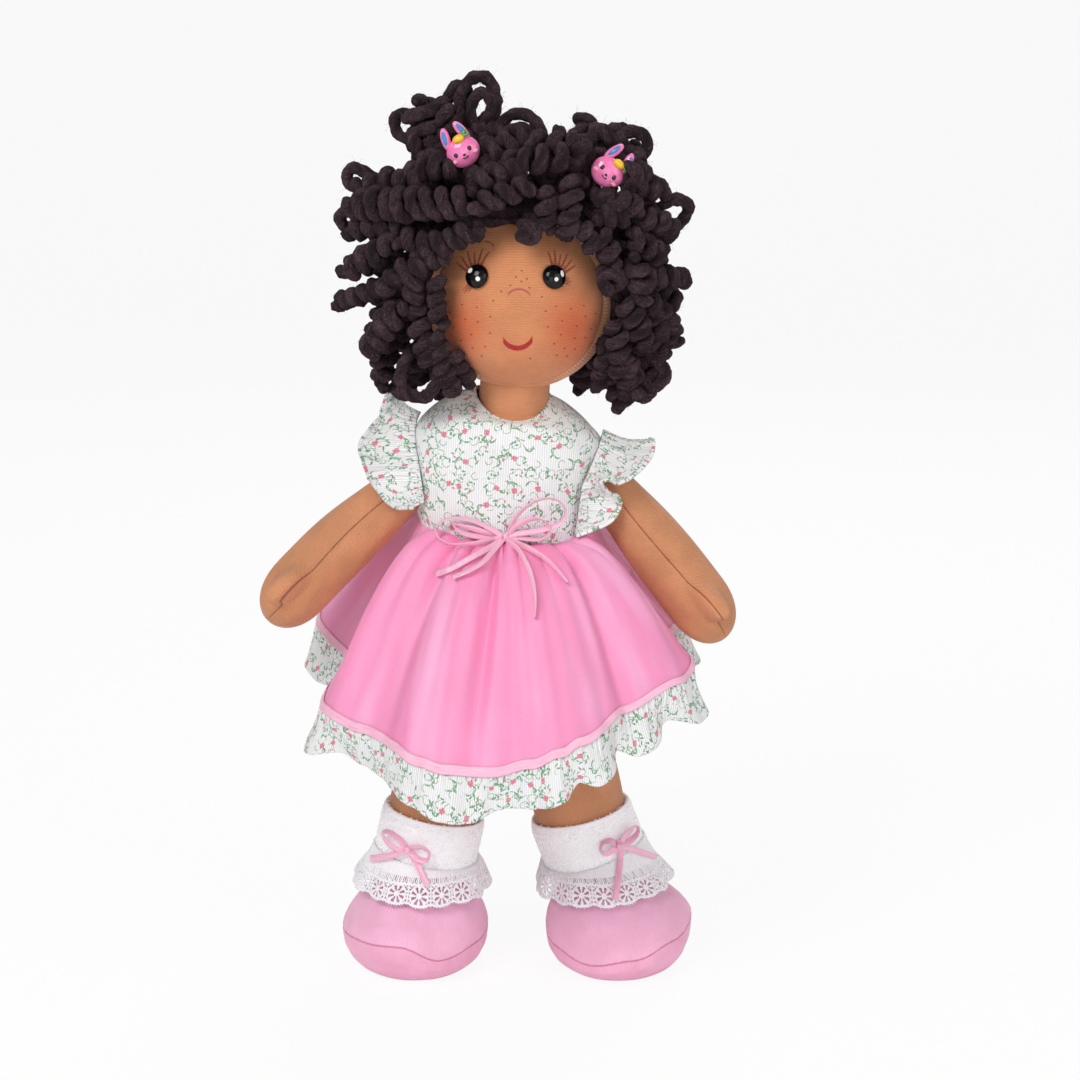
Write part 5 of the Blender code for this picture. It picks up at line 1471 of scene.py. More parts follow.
def skirt_points(angle, t, out=0.0):
    """The skirt at directions and at places from 0 at the waist to 1 at the hem. It puffs out fast under
    the seam,
    but slower under the arms. Rounded pleats with deep creases leave the gathered seam and fade, and the
    large folds
    take over from them. Both are measured square to the plain form."""
    a = np.radians(angle)
    wide, deep = 0.0430, 0.0287
    at_waist = 1 / np.sqrt((np.sin(a) / wide) ** 2 + (np.cos(a) / deep) ** 2)
    under_arm = np.clip(1 - ((np.abs((angle + 180) % 360 - 180) - 88) / 27) ** 2, 0, 1)
    power = 0.55 + 0.64 * under_arm
    top = by_direction(angle, WAIST_SEAM) - 0.0003
    z_hem = by_direction(angle, HEM_LINE)
    flare = by_direction(angle, HEM_PLAN) - at_waist
    slope = power * flare * np.maximum(t, 0.012) ** (power - 1)
    fall = top - z_hem
    level = np.hypot(slope, fall)
    phase = 13.0 * a + 0.9 * np.sin(3 * a + 0.5) + 0.6 * np.sin(7 * a) + 0.5 * t * np.sin(5 * a)
    pleat = np.abs(np.sin(phase)) ** 0.6 - 0.72
    fade = np.exp(-t / 0.11) * np.clip(t / 0.012, 0.3, 1) * (0.80 + 0.40 * np.sin(5 * a + 1) * np.sin(2 * a))
    fold = by_direction(angle + 4 * t, SKIRT_FOLDS) * MM
    bump = 0.0062 * pleat * fade + fold * np.clip(t / 0.09, 0, 1) ** 0.7 * (1 - 0.75 * t)
    bump = bump + soft_noise(a * 12 + 0.9 * np.sin(a * 2), 53, 4) * 0.0006 * np.clip(t / 0.25, 0, 1)
    bump = bump * (1 - 0.6 * under_arm * (t < 0.5)) + out
    r = at_waist + flare * np.maximum(t, 0) ** power + bump * fall / level
    z = top - fall * t + bump * slope / level
    return np.stack([np.sin(a) * r - 0.0003, -np.cos(a) * r, z], axis=-1)


def make_skirt(look):
    angle = np.linspace(-180, 180, 540, endpoint=False)[None]
    t = np.concatenate([0.16 * np.linspace(0, 1, 30) ** 1.8, np.linspace(0.16, 1, 56)[1:]])[:, None]
    points = skirt_points(angle, t)
    edge = np.concatenate([points, points[:, :1]], axis=1)
    down = np.cumsum(np.concatenate([np.zeros((1, 541)), np.linalg.norm(np.diff(edge, axis=0), axis=-1)]),
                     axis=0) / MM
    down = np.broadcast_to(down.mean(axis=1, keepdims=True), down.shape)
    around = np.concatenate([[0.0], np.cumsum(np.linalg.norm(np.diff(edge[-1], axis=0), axis=1))]) / MM
    part = skin(points, around, down, caps=False).flipped()
    skirt = build("skirt_cloth", [part], [pink_cotton(look)], "torso", ("skirt",), 0.0006,
                  False)
    ribbon_pink = satin("Hem satin", look.ribbon)
    v = np.linspace(0, 1, 9)[:, None]
    band = skirt_points(angle, 1 - 0.047 * (1 - v), 0.0009)
    u = (v - 0.5) * 3.5
    part = skin(band, np.broadcast_to(u, (9, 541)), np.broadcast_to(around[None], (9, 541)),
                caps=False).flipped()
    sewn = build("hem_satin", [part], [ribbon_pink], "torso", ("hem_ribbon",), 0.0004)
    frill = frill_points()
    part = skin(frill[0], frill[1], frill[2], caps=False).flipped()
    cotton = printed_cotton("Frill cotton", look)
    hem = build("hem_frill_cloth", [part], [cotton], "torso", ("hem_frill",), 0.0007)


def frill_points():
    """The printed frill below the ribbon: cloth gathered to the hem, its ruffles growing towards its lower
    edge."""
    columns, rows = 1400, 34
    angle = np.linspace(-180, 180, columns, endpoint=False)[None]
    a = np.radians(angle)
    v = np.linspace(0, 1, rows)[:, None]
    swing = (1 - by_direction(angle - 2.5 * v, RUFFLES)) / 2
    ruffle = 1 - 2 * np.sign(swing) * np.abs(swing) ** 1.7
    small = soft_noise(a * 23, 63, 4) * 0.0004 * v
    gather = soft_noise(a * 61, 61, 5) * 0.0007 * np.exp(-v / 0.30)
    tucked = np.exp(-v / 0.05)
    out = 0.0003 + 0.0038 * v + 0.0044 * v ** 1.3 * ruffle + gather + small - 0.0006 * np.sin(pi * v) - 0.0016 * tucked
    top = skirt_points(angle, np.ones_like(v))
    z = top[..., 2] + 0.0018 * tucked - (0.0005 + 0.0180 * v + 0.0018 * v ** 1.5 * ruffle)
    points = np.stack([top[..., 0] + np.sin(a) * out, top[..., 1] - np.cos(a) * out, z], axis=-1)
    edge = np.concatenate([points, points[:, :1]], axis=1)
    around = np.concatenate([[0.0], np.cumsum(np.linalg.norm(np.diff(edge[-1], axis=0), axis=1))]) / MM
    return points, around, v * 20.5


def make_eyes(look):
    """A domed eye set along the head's own direction there: a glossy dome with a low rim and two white
    dots."""
    dots = {"left": ((-2.2, 2.3, 1.35, 1.0), (2.2, -2.0, 1.05, 1.0)),
            "right": ((3.0, 1.1, 1.05, 0.65), (-0.3, -1.9, 0.95, 1.0))}
    for side, place in EYES.items():
        out = unit(place - HEAD_CENTRE)
        up = unit(np.array((0, 0.225, 0.974)) - out * np.dot(out, (0, 0.225, 0.974)))
        right = np.cross(-out, up)
        a = np.linspace(0, pi / 2, 22)[:-1]
        rim = 0.0004
        along = np.concatenate([[-0.0098, -0.0094, rim - 0.0002, rim], rim + 0.0003 + 0.0040 * np.sin(a)])
        r = np.concatenate([[0.0012, 0.0016, 0.0016, 0.0055], 0.0059 * np.cos(a)])
        t = np.linspace(0, 2 * pi, 48, endpoint=False)[None]
        ring = right * (r[:, None] * np.cos(t))[..., None] + up * (r[:, None] * np.sin(t))[..., None]
        points = place + out * along[:, None, None] + ring
        finish = plastic("Eye plastic " + side, look.eye, 0.08, 0.3)
        finish.shader.inputs["Specular IOR Level"].default_value = 0.15
        local = finish.move(finish.place(), tuple(-(place + MIDDLE)))

        def toward(way):
            given = finish.node("VectorMath", [local, tuple(way)], "Value", operation="DOT_PRODUCT")
            return given * 1000.0

        across, high, depth = toward(right), toward(up), toward(out)
        spots = [disc(finish, across, high, (x, y), radius, 0.12, squeeze) for x, y, radius,
                 squeeze in dots[side]]
        flow = finish.noise(finish.place(), 300.0)
        black = finish.mix(look.eye, tone(look.eye, 1.6), flow)
        finish.feed("Base Color", finish.mix(black, look.eye_dot, most(finish, *spots) * (depth > 0.6)))
        build("eye_dome_" + side, [skin(points)], [finish], "head", ("eye_" + side,))


def make_washers(look):
    finish = plastic("Washer plastic", look.washer, 0.45)
    for side in SIDES:
        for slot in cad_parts["eye_washer_" + side].material_slots:
            slot.material = finish.material


# Curls that show in front, in millimetres from the head's centre: the points of each curl's middle line, the
# curl's width over its yarn and the rise of one turn.
FRINGE_CURLS = (
    (((-21, -50, 49), (-9, -53, 54), (6, -52, 59)), 14, 9.2),
    (((-10, -40, 67), (8, -43, 70), (24, -41, 71), (35, -36, 70)), 15.5, 8.4),
    (((25, -45, 62), (24, -50, 50), (22.8, -47, 33)), 13, 7.8),
    (((14, -49, 58), (13.2, -50, 47), (13, -47, 36)), 12, 7.6),
    (((5, -41, 42), (4.8, -51, 35.5), (4.6, -54, 34.5)), 14.4, 7),
    (((-24, -47, 57), (-12, -46, 63), (2, -45, 66)), 14, 8.2),
    (((36.8, -43, 54), (47, -40, 50.7), (55, -33, 47)), 13.5, 8),
    (((36, -44, 45), (43.5, -40, 42.7), (53, -33, 43)), 12.5, 7.8),
    (((30, -46, 40), (33, -46, 33), (36, -44, 27)), 12, 7.6),
    (((-26, -36, 66), (-14, -34, 73), (0, -30, 76)), 15, 8.4),
    (((4, -30, 76), (18, -32, 76), (32, -28, 75)), 15, 8.4),
    (((-24, -14, 73), (-10, -16, 77), (6, -14, 78)), 15, 8.2),
    (((-28, 4, 66), (-8, 4, 70), (14, 4, 70)), 18, 8.4), (((14, 2, 70), (28, 0, 68), (40, 0, 62)), 18, 8.4),
    (((-30, -20, 62), (-16, -26, 66), (-2, -28, 68)), 16, 8.4),
    (((16, -30, 68), (28, -30, 64), (40, -28, 58)), 16, 8.4),
)
LEFT_CURLS = (
    (((-80, -16, 46), (-66, -29, 48), (-46, -41, 49), (-24, -48, 50.5)), 18, 8.3),
    (((-57, -34, 33), (-39, -42, 30), (-19, -48, 39)), 14, 8),
    (((-49, -36, 25), (-41, -40, 23.5), (-33, -42, 22)), 12, 7.6),
    (((-56, -30, 37), (-70, -23, 36), (-83, -14, 34)), 13, 7.8),
    (((-58, -33, 32), (-71, -27, 24), (-82, -20, 14)), 13, 7.8),
    (((-52, -38, 20), (-60, -36, 13), (-66, -30, 5)), 13, 7.8),
    (((-62, -27, 9), (-76, -18, 3), (-90, -9, -2)), 11.5, 7.4),
    (((-55, -36, 2), (-65, -31, -11), (-73, -24, -24)), 15, 8),
    (((-47, -41, 22), (-50, -41, 13), (-49.6, -39, 3)), 13, 7.8),
    (((-39, -42, 15), (-39, -42, 3), (-37, -40, -10)), 11, 7.4),
    (((-40, -38, -12), (-37, -33, -29), (-31, -27, -45)), 12, 7.6),
    (((-33, -33, -22), (-28, -27, -32), (-22, -21, -40)), 11, 7.4),
    (((-48, -36, 2), (-47, -36, -12), (-44, -34, -26)), 13, 7.8),
    (((-66, -22, 22), (-77, -14, 18), (-86, -7, 13)), 12, 7.6),
    (((-58, -20, 52), (-70, -13, 55), (-79, -6, 53)), 13, 7.8),
    (((-45, -30, 58), (-58, -24, 58), (-68, -16, 60)), 14, 8),
    (((-54, -22, 60), (-41, -28, 65), (-27, -32, 67)), 15, 8),
    (((-50, -8, 64), (-38, -12, 69), (-26, -16, 72)), 15, 8),
    (((-62, -4, 44), (-46, 0, 56), (-30, 2, 62)), 18, 8.4),
    (((-66, -10, 34), (-62, -14, 12), (-56, -14, -8)), 18, 8.4),
)
RIGHT_CURLS = (
    (((37.7, -42, 37), (42, -42, 28), (43.5, -41, 19)), 13.5, 7.8),
    (((44, -30, 18), (44, -38, 13), (44.5, -43, 11.5)), 16, 7.4),
    (((52, -36, 33), (61, -30, 28), (68, -22, 20)), 14, 8),
    (((55, -32, 42), (66, -24, 38), (75, -14, 32)), 14, 8),
    (((52, -38, 24), (57, -36, 14), (60, -32, 3)), 14, 7.8),
    (((60, -28, 14), (71, -20, 12), (81, -10, 10)), 13, 7.8),
    (((50, -34, 2), (56, -31, -9), (60, -26, -20)), 14, 7.8),
    (((60, -26, 0), (69, -18, -6), (76, -10, -14)), 12.5, 7.6),
    (((46, -33, -8), (48, -30, -22), (48, -26, -36)), 13, 7.8),
    (((52, -28, -24), (53, -24, -36), (51.5, -20, -47)), 12, 7.6),
    (((60, -22, -14), (66, -18, -25), (67, -14, -36)), 12, 7.6),
    (((50, -30, 58), (60, -22, 56), (69, -14, 52)), 14, 8),
    (((44, -38, 62), (52, -32, 62), (60, -24, 62)), 13.5, 8),
    (((42, -26, -22), (40, -22, -32), (37, -18, -42)), 11, 7.4),
    (((58, -10, 50), (64, -10, 34), (64, -10, 16)), 18, 8.4),
    (((62, -10, 10), (58, -12, -8), (54, -12, -26)), 18, 8.4),
)
# Loops of yarn that stand free, as points in millimetres from the head's centre.
LEFT_LOOPS = (
    ((-52, -26, -22), (-57, -30, -33), (-55, -30, -42), (-46, -30, -45), (-40, -31, -37), (-42, -28, -26)),
    ((-66, -12, 55), (-74, -9, 61), (-81, -7, 63), (-83, -6, 57), (-77, -8, 53), (-68, -10, 50)),
    ((-70, -10, 38), (-80, -6, 42), (-87, -2, 40), (-85, 0, 34), (-76, -2, 32)),
)
RIGHT_LOOPS = (
    ((60, -18, -22), (67, -20, -29), (71, -20, -36), (65, -19, -42), (58, -18, -36), (57, -16, -27)),
    ((66, -12, 44), (76, -8, 48), (82, -4, 44), (78, -2, 36), (70, -6, 34)),
)
PUFF_CURLS = {
    "left": (
        (((-35, -8, 74), (-41, -9, 85), (-44, -8, 96)), 20, 7.8),
        (((-38, -8, 74), (-46, -8, 81), (-53, -6, 87)), 18, 7.8),
        (((-37, -10, 70), (-45, -11, 73), (-53, -9, 75)), 17, 7.6),
        (((-31, -12, 74), (-33, -17, 83), (-36, -17, 92)), 13, 7.8),
        (((-28, -8, 73), (-20, -14, 79), (-11, -14, 82)), 13, 7.6),
        (((-33, -14, 70), (-38, -22, 71), (-42, -26, 68)), 12, 7.6),
        (((-26, -12, 70), (-22, -22, 71), (-20, -26, 67)), 12, 7.6),
        (((-34, 2, 74), (-38, 8, 84), (-40, 11, 92)), 13, 7.8),
        (((-28, 2, 73), (-20, 8, 80), (-12, 10, 86)), 13, 7.8),
        (((-38, 4, 71), (-48, 10, 74), (-56, 12, 77)), 13, 7.6),
        (((-30, 6, 71), (-28, 15, 76), (-27, 22, 79)), 13, 7.6),
        (((-34, -3, 78), (-38, -4, 86), (-40, -5, 94)), 14, 7.8),
        (((-24, -12, 68), (-36, -16, 67), (-48, -16, 66)), 15, 7.8),
    ),
    "right": (
        (((36, -8, 72), (31, -11, 77), (28, -11, 82)), 18, 7.8),
        (((38, -8, 72), (40, -12, 77), (42, -12, 81)), 18, 7.8),
        (((40, -7, 70), (48, -10, 73), (54, -9, 74)), 16, 7.6),
        (((41, -6, 70), (52, -9, 69), (61, -8, 66)), 13, 7.6),
        (((38, -12, 69), (39, -21, 69), (38, -26, 66)), 12, 7.6),
        (((43, -10, 68), (52, -17, 62), (58, -17, 55)), 13, 7.6),
        (((36, 2, 72), (32, 8, 80), (30, 11, 87)), 13, 7.8),
        (((40, 3, 71), (47, 8, 78), (52, 10, 82)), 13, 7.8),
        (((41, 4, 69), (51, 9, 70), (60, 10, 69)), 13, 7.6),
        (((37, 6, 70), (36, 15, 73), (35, 21, 74)), 13, 7.6),
        (((34, -6, 71), (24, -8, 76), (16, -8, 80)), 12, 7.6),
        (((37, -3, 74), (38, -4, 79), (36, -4, 84)), 14, 7.8),
        (((28, -14, 68), (40, -20, 66), (52, -18, 62)), 15, 7.8),
    ),
}
PUFF_LOOPS = {
    "left": (
        (
            (-22, -4, 78), (-28, -4, 88), (-28, -2, 98), (-23, -1, 105), (-16, 0, 105.5), (-11.5, 0, 98),
            (-12, -4, 89), (-17, -6, 80),
        ),
        (
            (-20, -6, 80), (-23, -7, 88), (-22, -6, 95), (-17.5, -6, 99), (-13.5, -6, 95), (-14, -7, 88),
            (-18, -8, 81),
        ),
        (
            (-14, -5, 80), (-8, -7, 85), (-3, -6, 88.5), (4, -6, 88), (9.5, -8, 83), (11, -10, 77),
            (7, -10, 74),
        ),
        ((-9, -9, 78), (-3, -11, 82), (3, -11, 82), (6, -12, 77), (2, -13, 74)),
        ((-32, 2, 82), (-35, 3, 92), (-32, 3, 100), (-27, 4, 101), (-25, 3, 94), (-27, 2, 84)),
        ((-44, 0, 80), (-54, 2, 88), (-60, 2, 86), (-58, 0, 78), (-48, -2, 76)),
    ),
    "right": (
        ((46, -2, 76), (54, -1, 80), (61, -1, 77), (61, -2, 70), (52, -4, 68)),
        ((50, -8, 62), (58, -9, 60), (62, -10, 54), (58, -11, 49), (52, -12, 53)),
    ),
}
STRAND = 0.0036
PLY_TWIST = 0.0120


def strand(path, guide, radius, shift, sides=12):
    """Two-ply yarn along a path: its section has two lobes that turn as it goes, so a groove winds round
    it. Its
    ends are drawn in to a round tip."""
    at = lengths_along(path)
    turn = 2 * pi * np.arange(sides) / sides
    lobes = 0.80 + 0.20 * np.abs(np.cos(turn[None] - (2 * pi * at / PLY_TWIST + shift)[:, None]))
    near_end = np.minimum(at, at[-1] - at)
    ends = np.sqrt(np.clip(1 - (1 - np.clip(near_end / radius, 0, 1)) ** 2, 0.03, 1))
    seed = int(shift * 1000) % 9973
    swell = 1 + 0.09 * soft_noise(at / 0.009, seed, 5)
    lobes = lobes * (1 + 0.07 * np.sin(2 * turn[None] + 5 * soft_noise(at / 0.013, seed + 1, 4)[:, None]))
    part = tube(path, guide, (radius * ends * swell)[:, None], sides, section=lobes)
    part.quad_uv[..., 1] += shift * 97.0
    part.tri_uv[..., 1] += shift * 97.0
    return part


def corkscrew(points, width, pitch, start, hand=1.0, radius=STRAND, close=0.72):
    """A curl: a strand wound round a middle line. Its turns narrow a little at both ends, and lean and spread
    unevenly. It passes behind a charm in its way."""
    pitch = pitch * 0.94
    spine = through(np.array(points) * MM, 60)
    long = lengths_along(spine)[-1]
    coil = width * MM / 2 - radius
    turns = long / (pitch * MM)
    count = max(16, int(turns * hypot(2 * pi * coil, pitch * MM) / 0.0017))
    spine = through(np.array(points) * MM, count)
    at = lengths_along(spine)
    guide = np.array((0.31, 0.22, 0.93)) if abs(unit(spine[-1]
                                                     - spine[0])[2]) < 0.7 else np.array((0.9, 0.35, 0.2))
    _, first, second = frames(spine, guide)
    share = np.clip(np.minimum(at, at[-1] - at) / (pitch * MM), 0, 1)
    wide = coil * (close + (1 - close) * np.sin(pi / 2 * share))
    seed = int(start * 1000) % 9973
    wide = wide * (1 + 0.16 * soft_noise(at / 0.010, seed, 4))
    angle = start + hand * 2 * pi * at / (pitch * MM) + 0.45 * soft_noise(at / 0.014, seed + 1, 3)
    radial = first * np.cos(angle)[:, None] + second * np.sin(angle)[:, None]
    lean = unit(np.gradient(spine, axis=0)) * (0.0013 * np.sin(angle + seed)
                                               * soft_noise(at / 0.02, seed + 2, 3))[:, None]
    return behind_charms(HEAD_CENTRE + spine + radial * wide[:, None] + lean), radial


def behind_charms(path):
    for place, tilt in CHARMS.values():
        middle = place + np.array((-sin(tilt), 0, cos(tilt))) * 0.0035
        far = np.hypot(path[:, 0] - middle[0], path[:, 2] - middle[2])
        least = place[1] + 0.0066 - np.clip(far - 0.0105, 0, 1) * 4.0
        path[:, 1] = np.where(far < 0.0150, np.maximum(path[:, 1], least), path[:, 1])
    return path


def curls_of(list_of_curls, seed):
    parts, paths = [], []
    random = np.random.RandomState(seed)
    for points, width, pitch in list_of_curls:
        start = random.uniform(0, 2 * pi)
        path, radial = corkscrew(points, width, pitch, start, 1.0 if random.rand() < 0.7 else -1.0,
                                 STRAND * random.uniform(0.94, 1.06))
        parts.append(strand(path, radial, STRAND, start + random.uniform(0, 9)))
        paths.append(path)
    return parts, paths


def loops_of(list_of_loops, seed, radius=0.0033):
    parts, paths = [], []
    random = np.random.RandomState(seed)
    for points in list_of_loops:
        path = through(np.array(points) * MM, 60)
        count = int(lengths_along(path)[-1] / 0.0016)
        path = HEAD_CENTRE + through(np.array(points) * MM, count)
        guide = unit(path - path.mean(axis=0)) + np.array((0.02, 0.03, 0.01))
        parts.append(strand(path, guide, radius, random.uniform(0, 9)))
        paths.append(path)
    return parts, paths


def fibres(paths, number, seed, reach=0.0042):
    """Loose wool fibres: thin bent threads that leave the yarn's surface anywhere along it."""
    random = np.random.RandomState(seed)
    dense = np.concatenate([p[1:-1] for p in paths])
    way = np.concatenate([unit(p[2:] - p[:-2]) for p in paths])
    pick = random.randint(0, len(dense), number)
    side = unit(np.cross(way[pick], random.normal(0, 1, (number, 3))))
    root = dense[pick] + side * STRAND * 0.72
    long = random.uniform(0.35, 1.0, number)[:, None] * reach
    ahead = unit(side * 0.75 + way[pick] * random.uniform(-0.9, 0.9, (number, 1))
                 + random.normal(0, 0.25, (number, 3)))
    bend = unit(np.cross(ahead, random.normal(0, 1, (number, 3))))
    steps = np.linspace(0, 1, 5)
    middle = root[:, None] + ahead[:, None] * long[:, None] * steps[None, :, None] \
        + bend[:, None] * long[:, None] * (0.45 * steps ** 2 - 0.18 * np.sin(2.2 * pi * steps))[None, :, None]
    other = unit(np.cross(ahead, bend))
    turn = 2 * pi * np.arange(3) / 3
    thin = 0.00006 * (1 - 0.6 * steps)
    ring = (bend[:, None, None] * np.cos(turn)[None, None, :, None]
            + other[:, None, None] * np.sin(turn)[None, None, :, None])
    points = middle[:, :, None] + ring * thin[None, :, None, None]
    k, m = np.arange(3), (np.arange(3) + 1) % 3
    quads = np.concatenate([np.stack([k + a, m + a, m + a + 3, k + a + 3], axis=1) for a in (0, 3, 6, 9)])
    tris = np.array([[0, 2, 1], [12, 13, 14]])
    return many(points.reshape(number, 15, 3), quads, tris, 0.4)


def scalp_curls(seed, number, belongs, clear_of):
    """Curls by rule for the hair that no list gives: roots spread evenly over the scalp, each curl leaving
    the head
    outwards and then falling, longer at the sides than on top."""
    random = np.random.RandomState(seed)
    made = []
    golden = pi * (3 - 5 ** 0.5)
    for k in range(number):
        up = 1 - 2 * (k + 0.5) / number
        flat = (1 - up * up) ** 0.5
        way = np.array((flat * cos(golden * k), flat * sin(golden * k), up))
        if not belongs(way):
            continue
        root = way * 46
        long = random.uniform(22, 30) * (1.0 + 0.45 * abs(way[0])) * (0.72 if up > 0.75 else 1.0)
        bent = unit(way + random.normal(0, 0.22, 3))
        droop = np.array((0, 0, -1.0)) * (0.55 + 0.3 * random.rand())
        middle = root + bent * long * 0.45
        end = root + unit(bent * 0.8 + droop * (0.35 + 0.5 * flat)) * long
        points = (tuple(root), tuple(middle), tuple(end))
        if clear_of(np.array(points)):
            made.append((points, random.uniform(12.5, 15.5), random.uniform(7.6, 8.4)))
    return made


def off_the_face(points):
    return not np.any((points[:, 1] < -16) & (np.abs(points[:, 0]) < 47) & (points[:, 2] < 46))


def make_cap(look):
    """Yarn wound round the scalp from the crown down, sewn down between its turns: a dome of rounded
    ridges. It
    stops at the hairline, high over the face and low at the back."""
    yarn = yarn_finish("Cap yarn", look, PLY_TWIST)
    t = np.linspace(-pi, pi, 210, endpoint=False)[None]
    v = np.linspace(0, 1, 150)[:, None]
    front = np.clip((radians(82) - np.abs(t)) / radians(24), 0, 1)
    front = front * front * (3 - 2 * front)
    limit = radians(122) - radians(86) * front
    limit = limit + 0.035 * np.sin(9 * t)
    down = 0.03 + (limit - 0.03) * v
    ridge = np.abs(np.cos(down * 50 / 5.6 * pi / 2 + 0.5 * t))
    edge = np.clip((1 - v) / 0.03, 0, 1) ** 0.5
    r = 0.0470 + 0.0040 * ridge ** 0.6 * edge + 0.0004 * np.sin(60 * t + 40 * down)
    inner_down = down[::-1]
    outer = np.stack([r * np.sin(down) * np.sin(t), -r * np.sin(down) * np.cos(t), r * np.cos(down)], axis=-1)
    r_in = 0.0459
    inner = np.stack([r_in * np.sin(inner_down) * np.sin(t), -r_in * np.sin(inner_down) * np.cos(t),
                      r_in * np.cos(inner_down)], axis=-1)
    points = HEAD_CENTRE + np.concatenate([outer, inner])
    u = np.linspace(0, 1, 211)[None] + np.linspace(0, 9, 300)[:, None]
    v_mm = np.linspace(0, 300, 211)[None] + np.zeros((300, 1))
    part = skin(points, u, v_mm)
    build("hair_cap_wefts", [part], [yarn], "head", ("hair_cap",))


def make_curls(look):
    yarn = yarn_finish("Curl yarn", look, PLY_TWIST)

    def side(sign):
        return lambda way: sign * way[0] > 0.50 and way[2] > -0.66 and way[1] > -0.62

    groups = (
        ("hair_fringe_curls", "hair_fringe", FRINGE_CURLS, (), 71,
         scalp_curls(81, 120, lambda w: abs(w[0]) <= 0.62 and w[2] > 0.62 and w[1] < 0.25, off_the_face)),
        ("hair_left_curls", "hair_side_left", LEFT_CURLS, LEFT_LOOPS, 72,
         scalp_curls(82, 110, side(-1), off_the_face)),
        ("hair_right_curls", "hair_side_right", RIGHT_CURLS, RIGHT_LOOPS, 73,
         scalp_curls(83, 110, side(1), off_the_face)),
        ("hair_back_curls", "hair_back", (), (), 74,
         scalp_curls(84, 110, lambda w: abs(w[0]) <= 0.62 and w[1] > 0.20 and w[2] > -0.72, off_the_face)),
    )
    for name, node, curls, loops, seed, filled in groups:
        parts, paths = curls_of(list(curls) + filled, seed)
        more, more_paths = loops_of(loops, seed + 20)
        parts += more
        paths += more_paths
        parts.append(fibres(paths, 2600, seed + 40))
        build(name, parts, [yarn], "head", (node,))


def make_puffs(look):
    yarn = yarn_finish("Puff yarn", look, PLY_TWIST)
    satin_band = satin("Elastic", look.ribbon)
    feet = {"left": np.array((-0.0270, -0.0040, 0.4038)), "right": np.array((0.0440, -0.0040, 0.4038))}
    for seed, side in enumerate(SIDES):
        parts, paths = curls_of(PUFF_CURLS[side], 91 + seed)
        more, more_paths = loops_of(PUFF_LOOPS[side], 95 + seed)
        foot = feet[side]
        stem = []
        for k in range(7):
            turn = 2 * pi * k / 7
            out = np.array((cos(turn), sin(turn), 0)) * 0.0042
            path = foot + out + np.linspace(0, 1, 12)[:, None] * (np.array((0, 0, 0.014)) + out * 0.6)
            stem.append(strand(path, (0.3, 0.9, 0.1), STRAND, k * 1.7))
        parts += more + stem
        parts.append(fibres(paths + more_paths, 1900, 97 + seed))
        build("hair_puff_curls_" + side, parts, [yarn], "head", ("hair_puff_" + side,))
        t = np.linspace(0, 2 * pi, 140, endpoint=False)
        ring = foot + np.stack([0.0093 * np.cos(t), 0.0093 * np.sin(t), 0.0026 + 0 * t], axis=-1)
        a = 2 * pi * np.arange(14) / 14
        out = np.stack([np.cos(t), np.sin(t), 0 * t], axis=-1)
        wire = 0.0020 * (1 + 0.10 * np.sin(26 * t))[:, None, None]
        points = ring[:, None] + wire * (out[:, None] * np.cos(a)[None, :, None]
                                         + np.array((0, 0, 1.0)) * np.sin(a)[None, :, None])
        band = skin(points, np.linspace(-1.7, 1.7, 15), np.linspace(0, 58, 141)[:, None], caps=False,
                    ring=True)
        build("elastic_band_" + side, [band], [satin_band], "head", ("hair_elastic_" + side,))


CHARMS = {
    "left": (np.array((-0.0198, -0.0290, 0.4152)), radians(-30)),
    "right": (np.array((0.0485, -0.0290, 0.4056)), radians(42)),
}


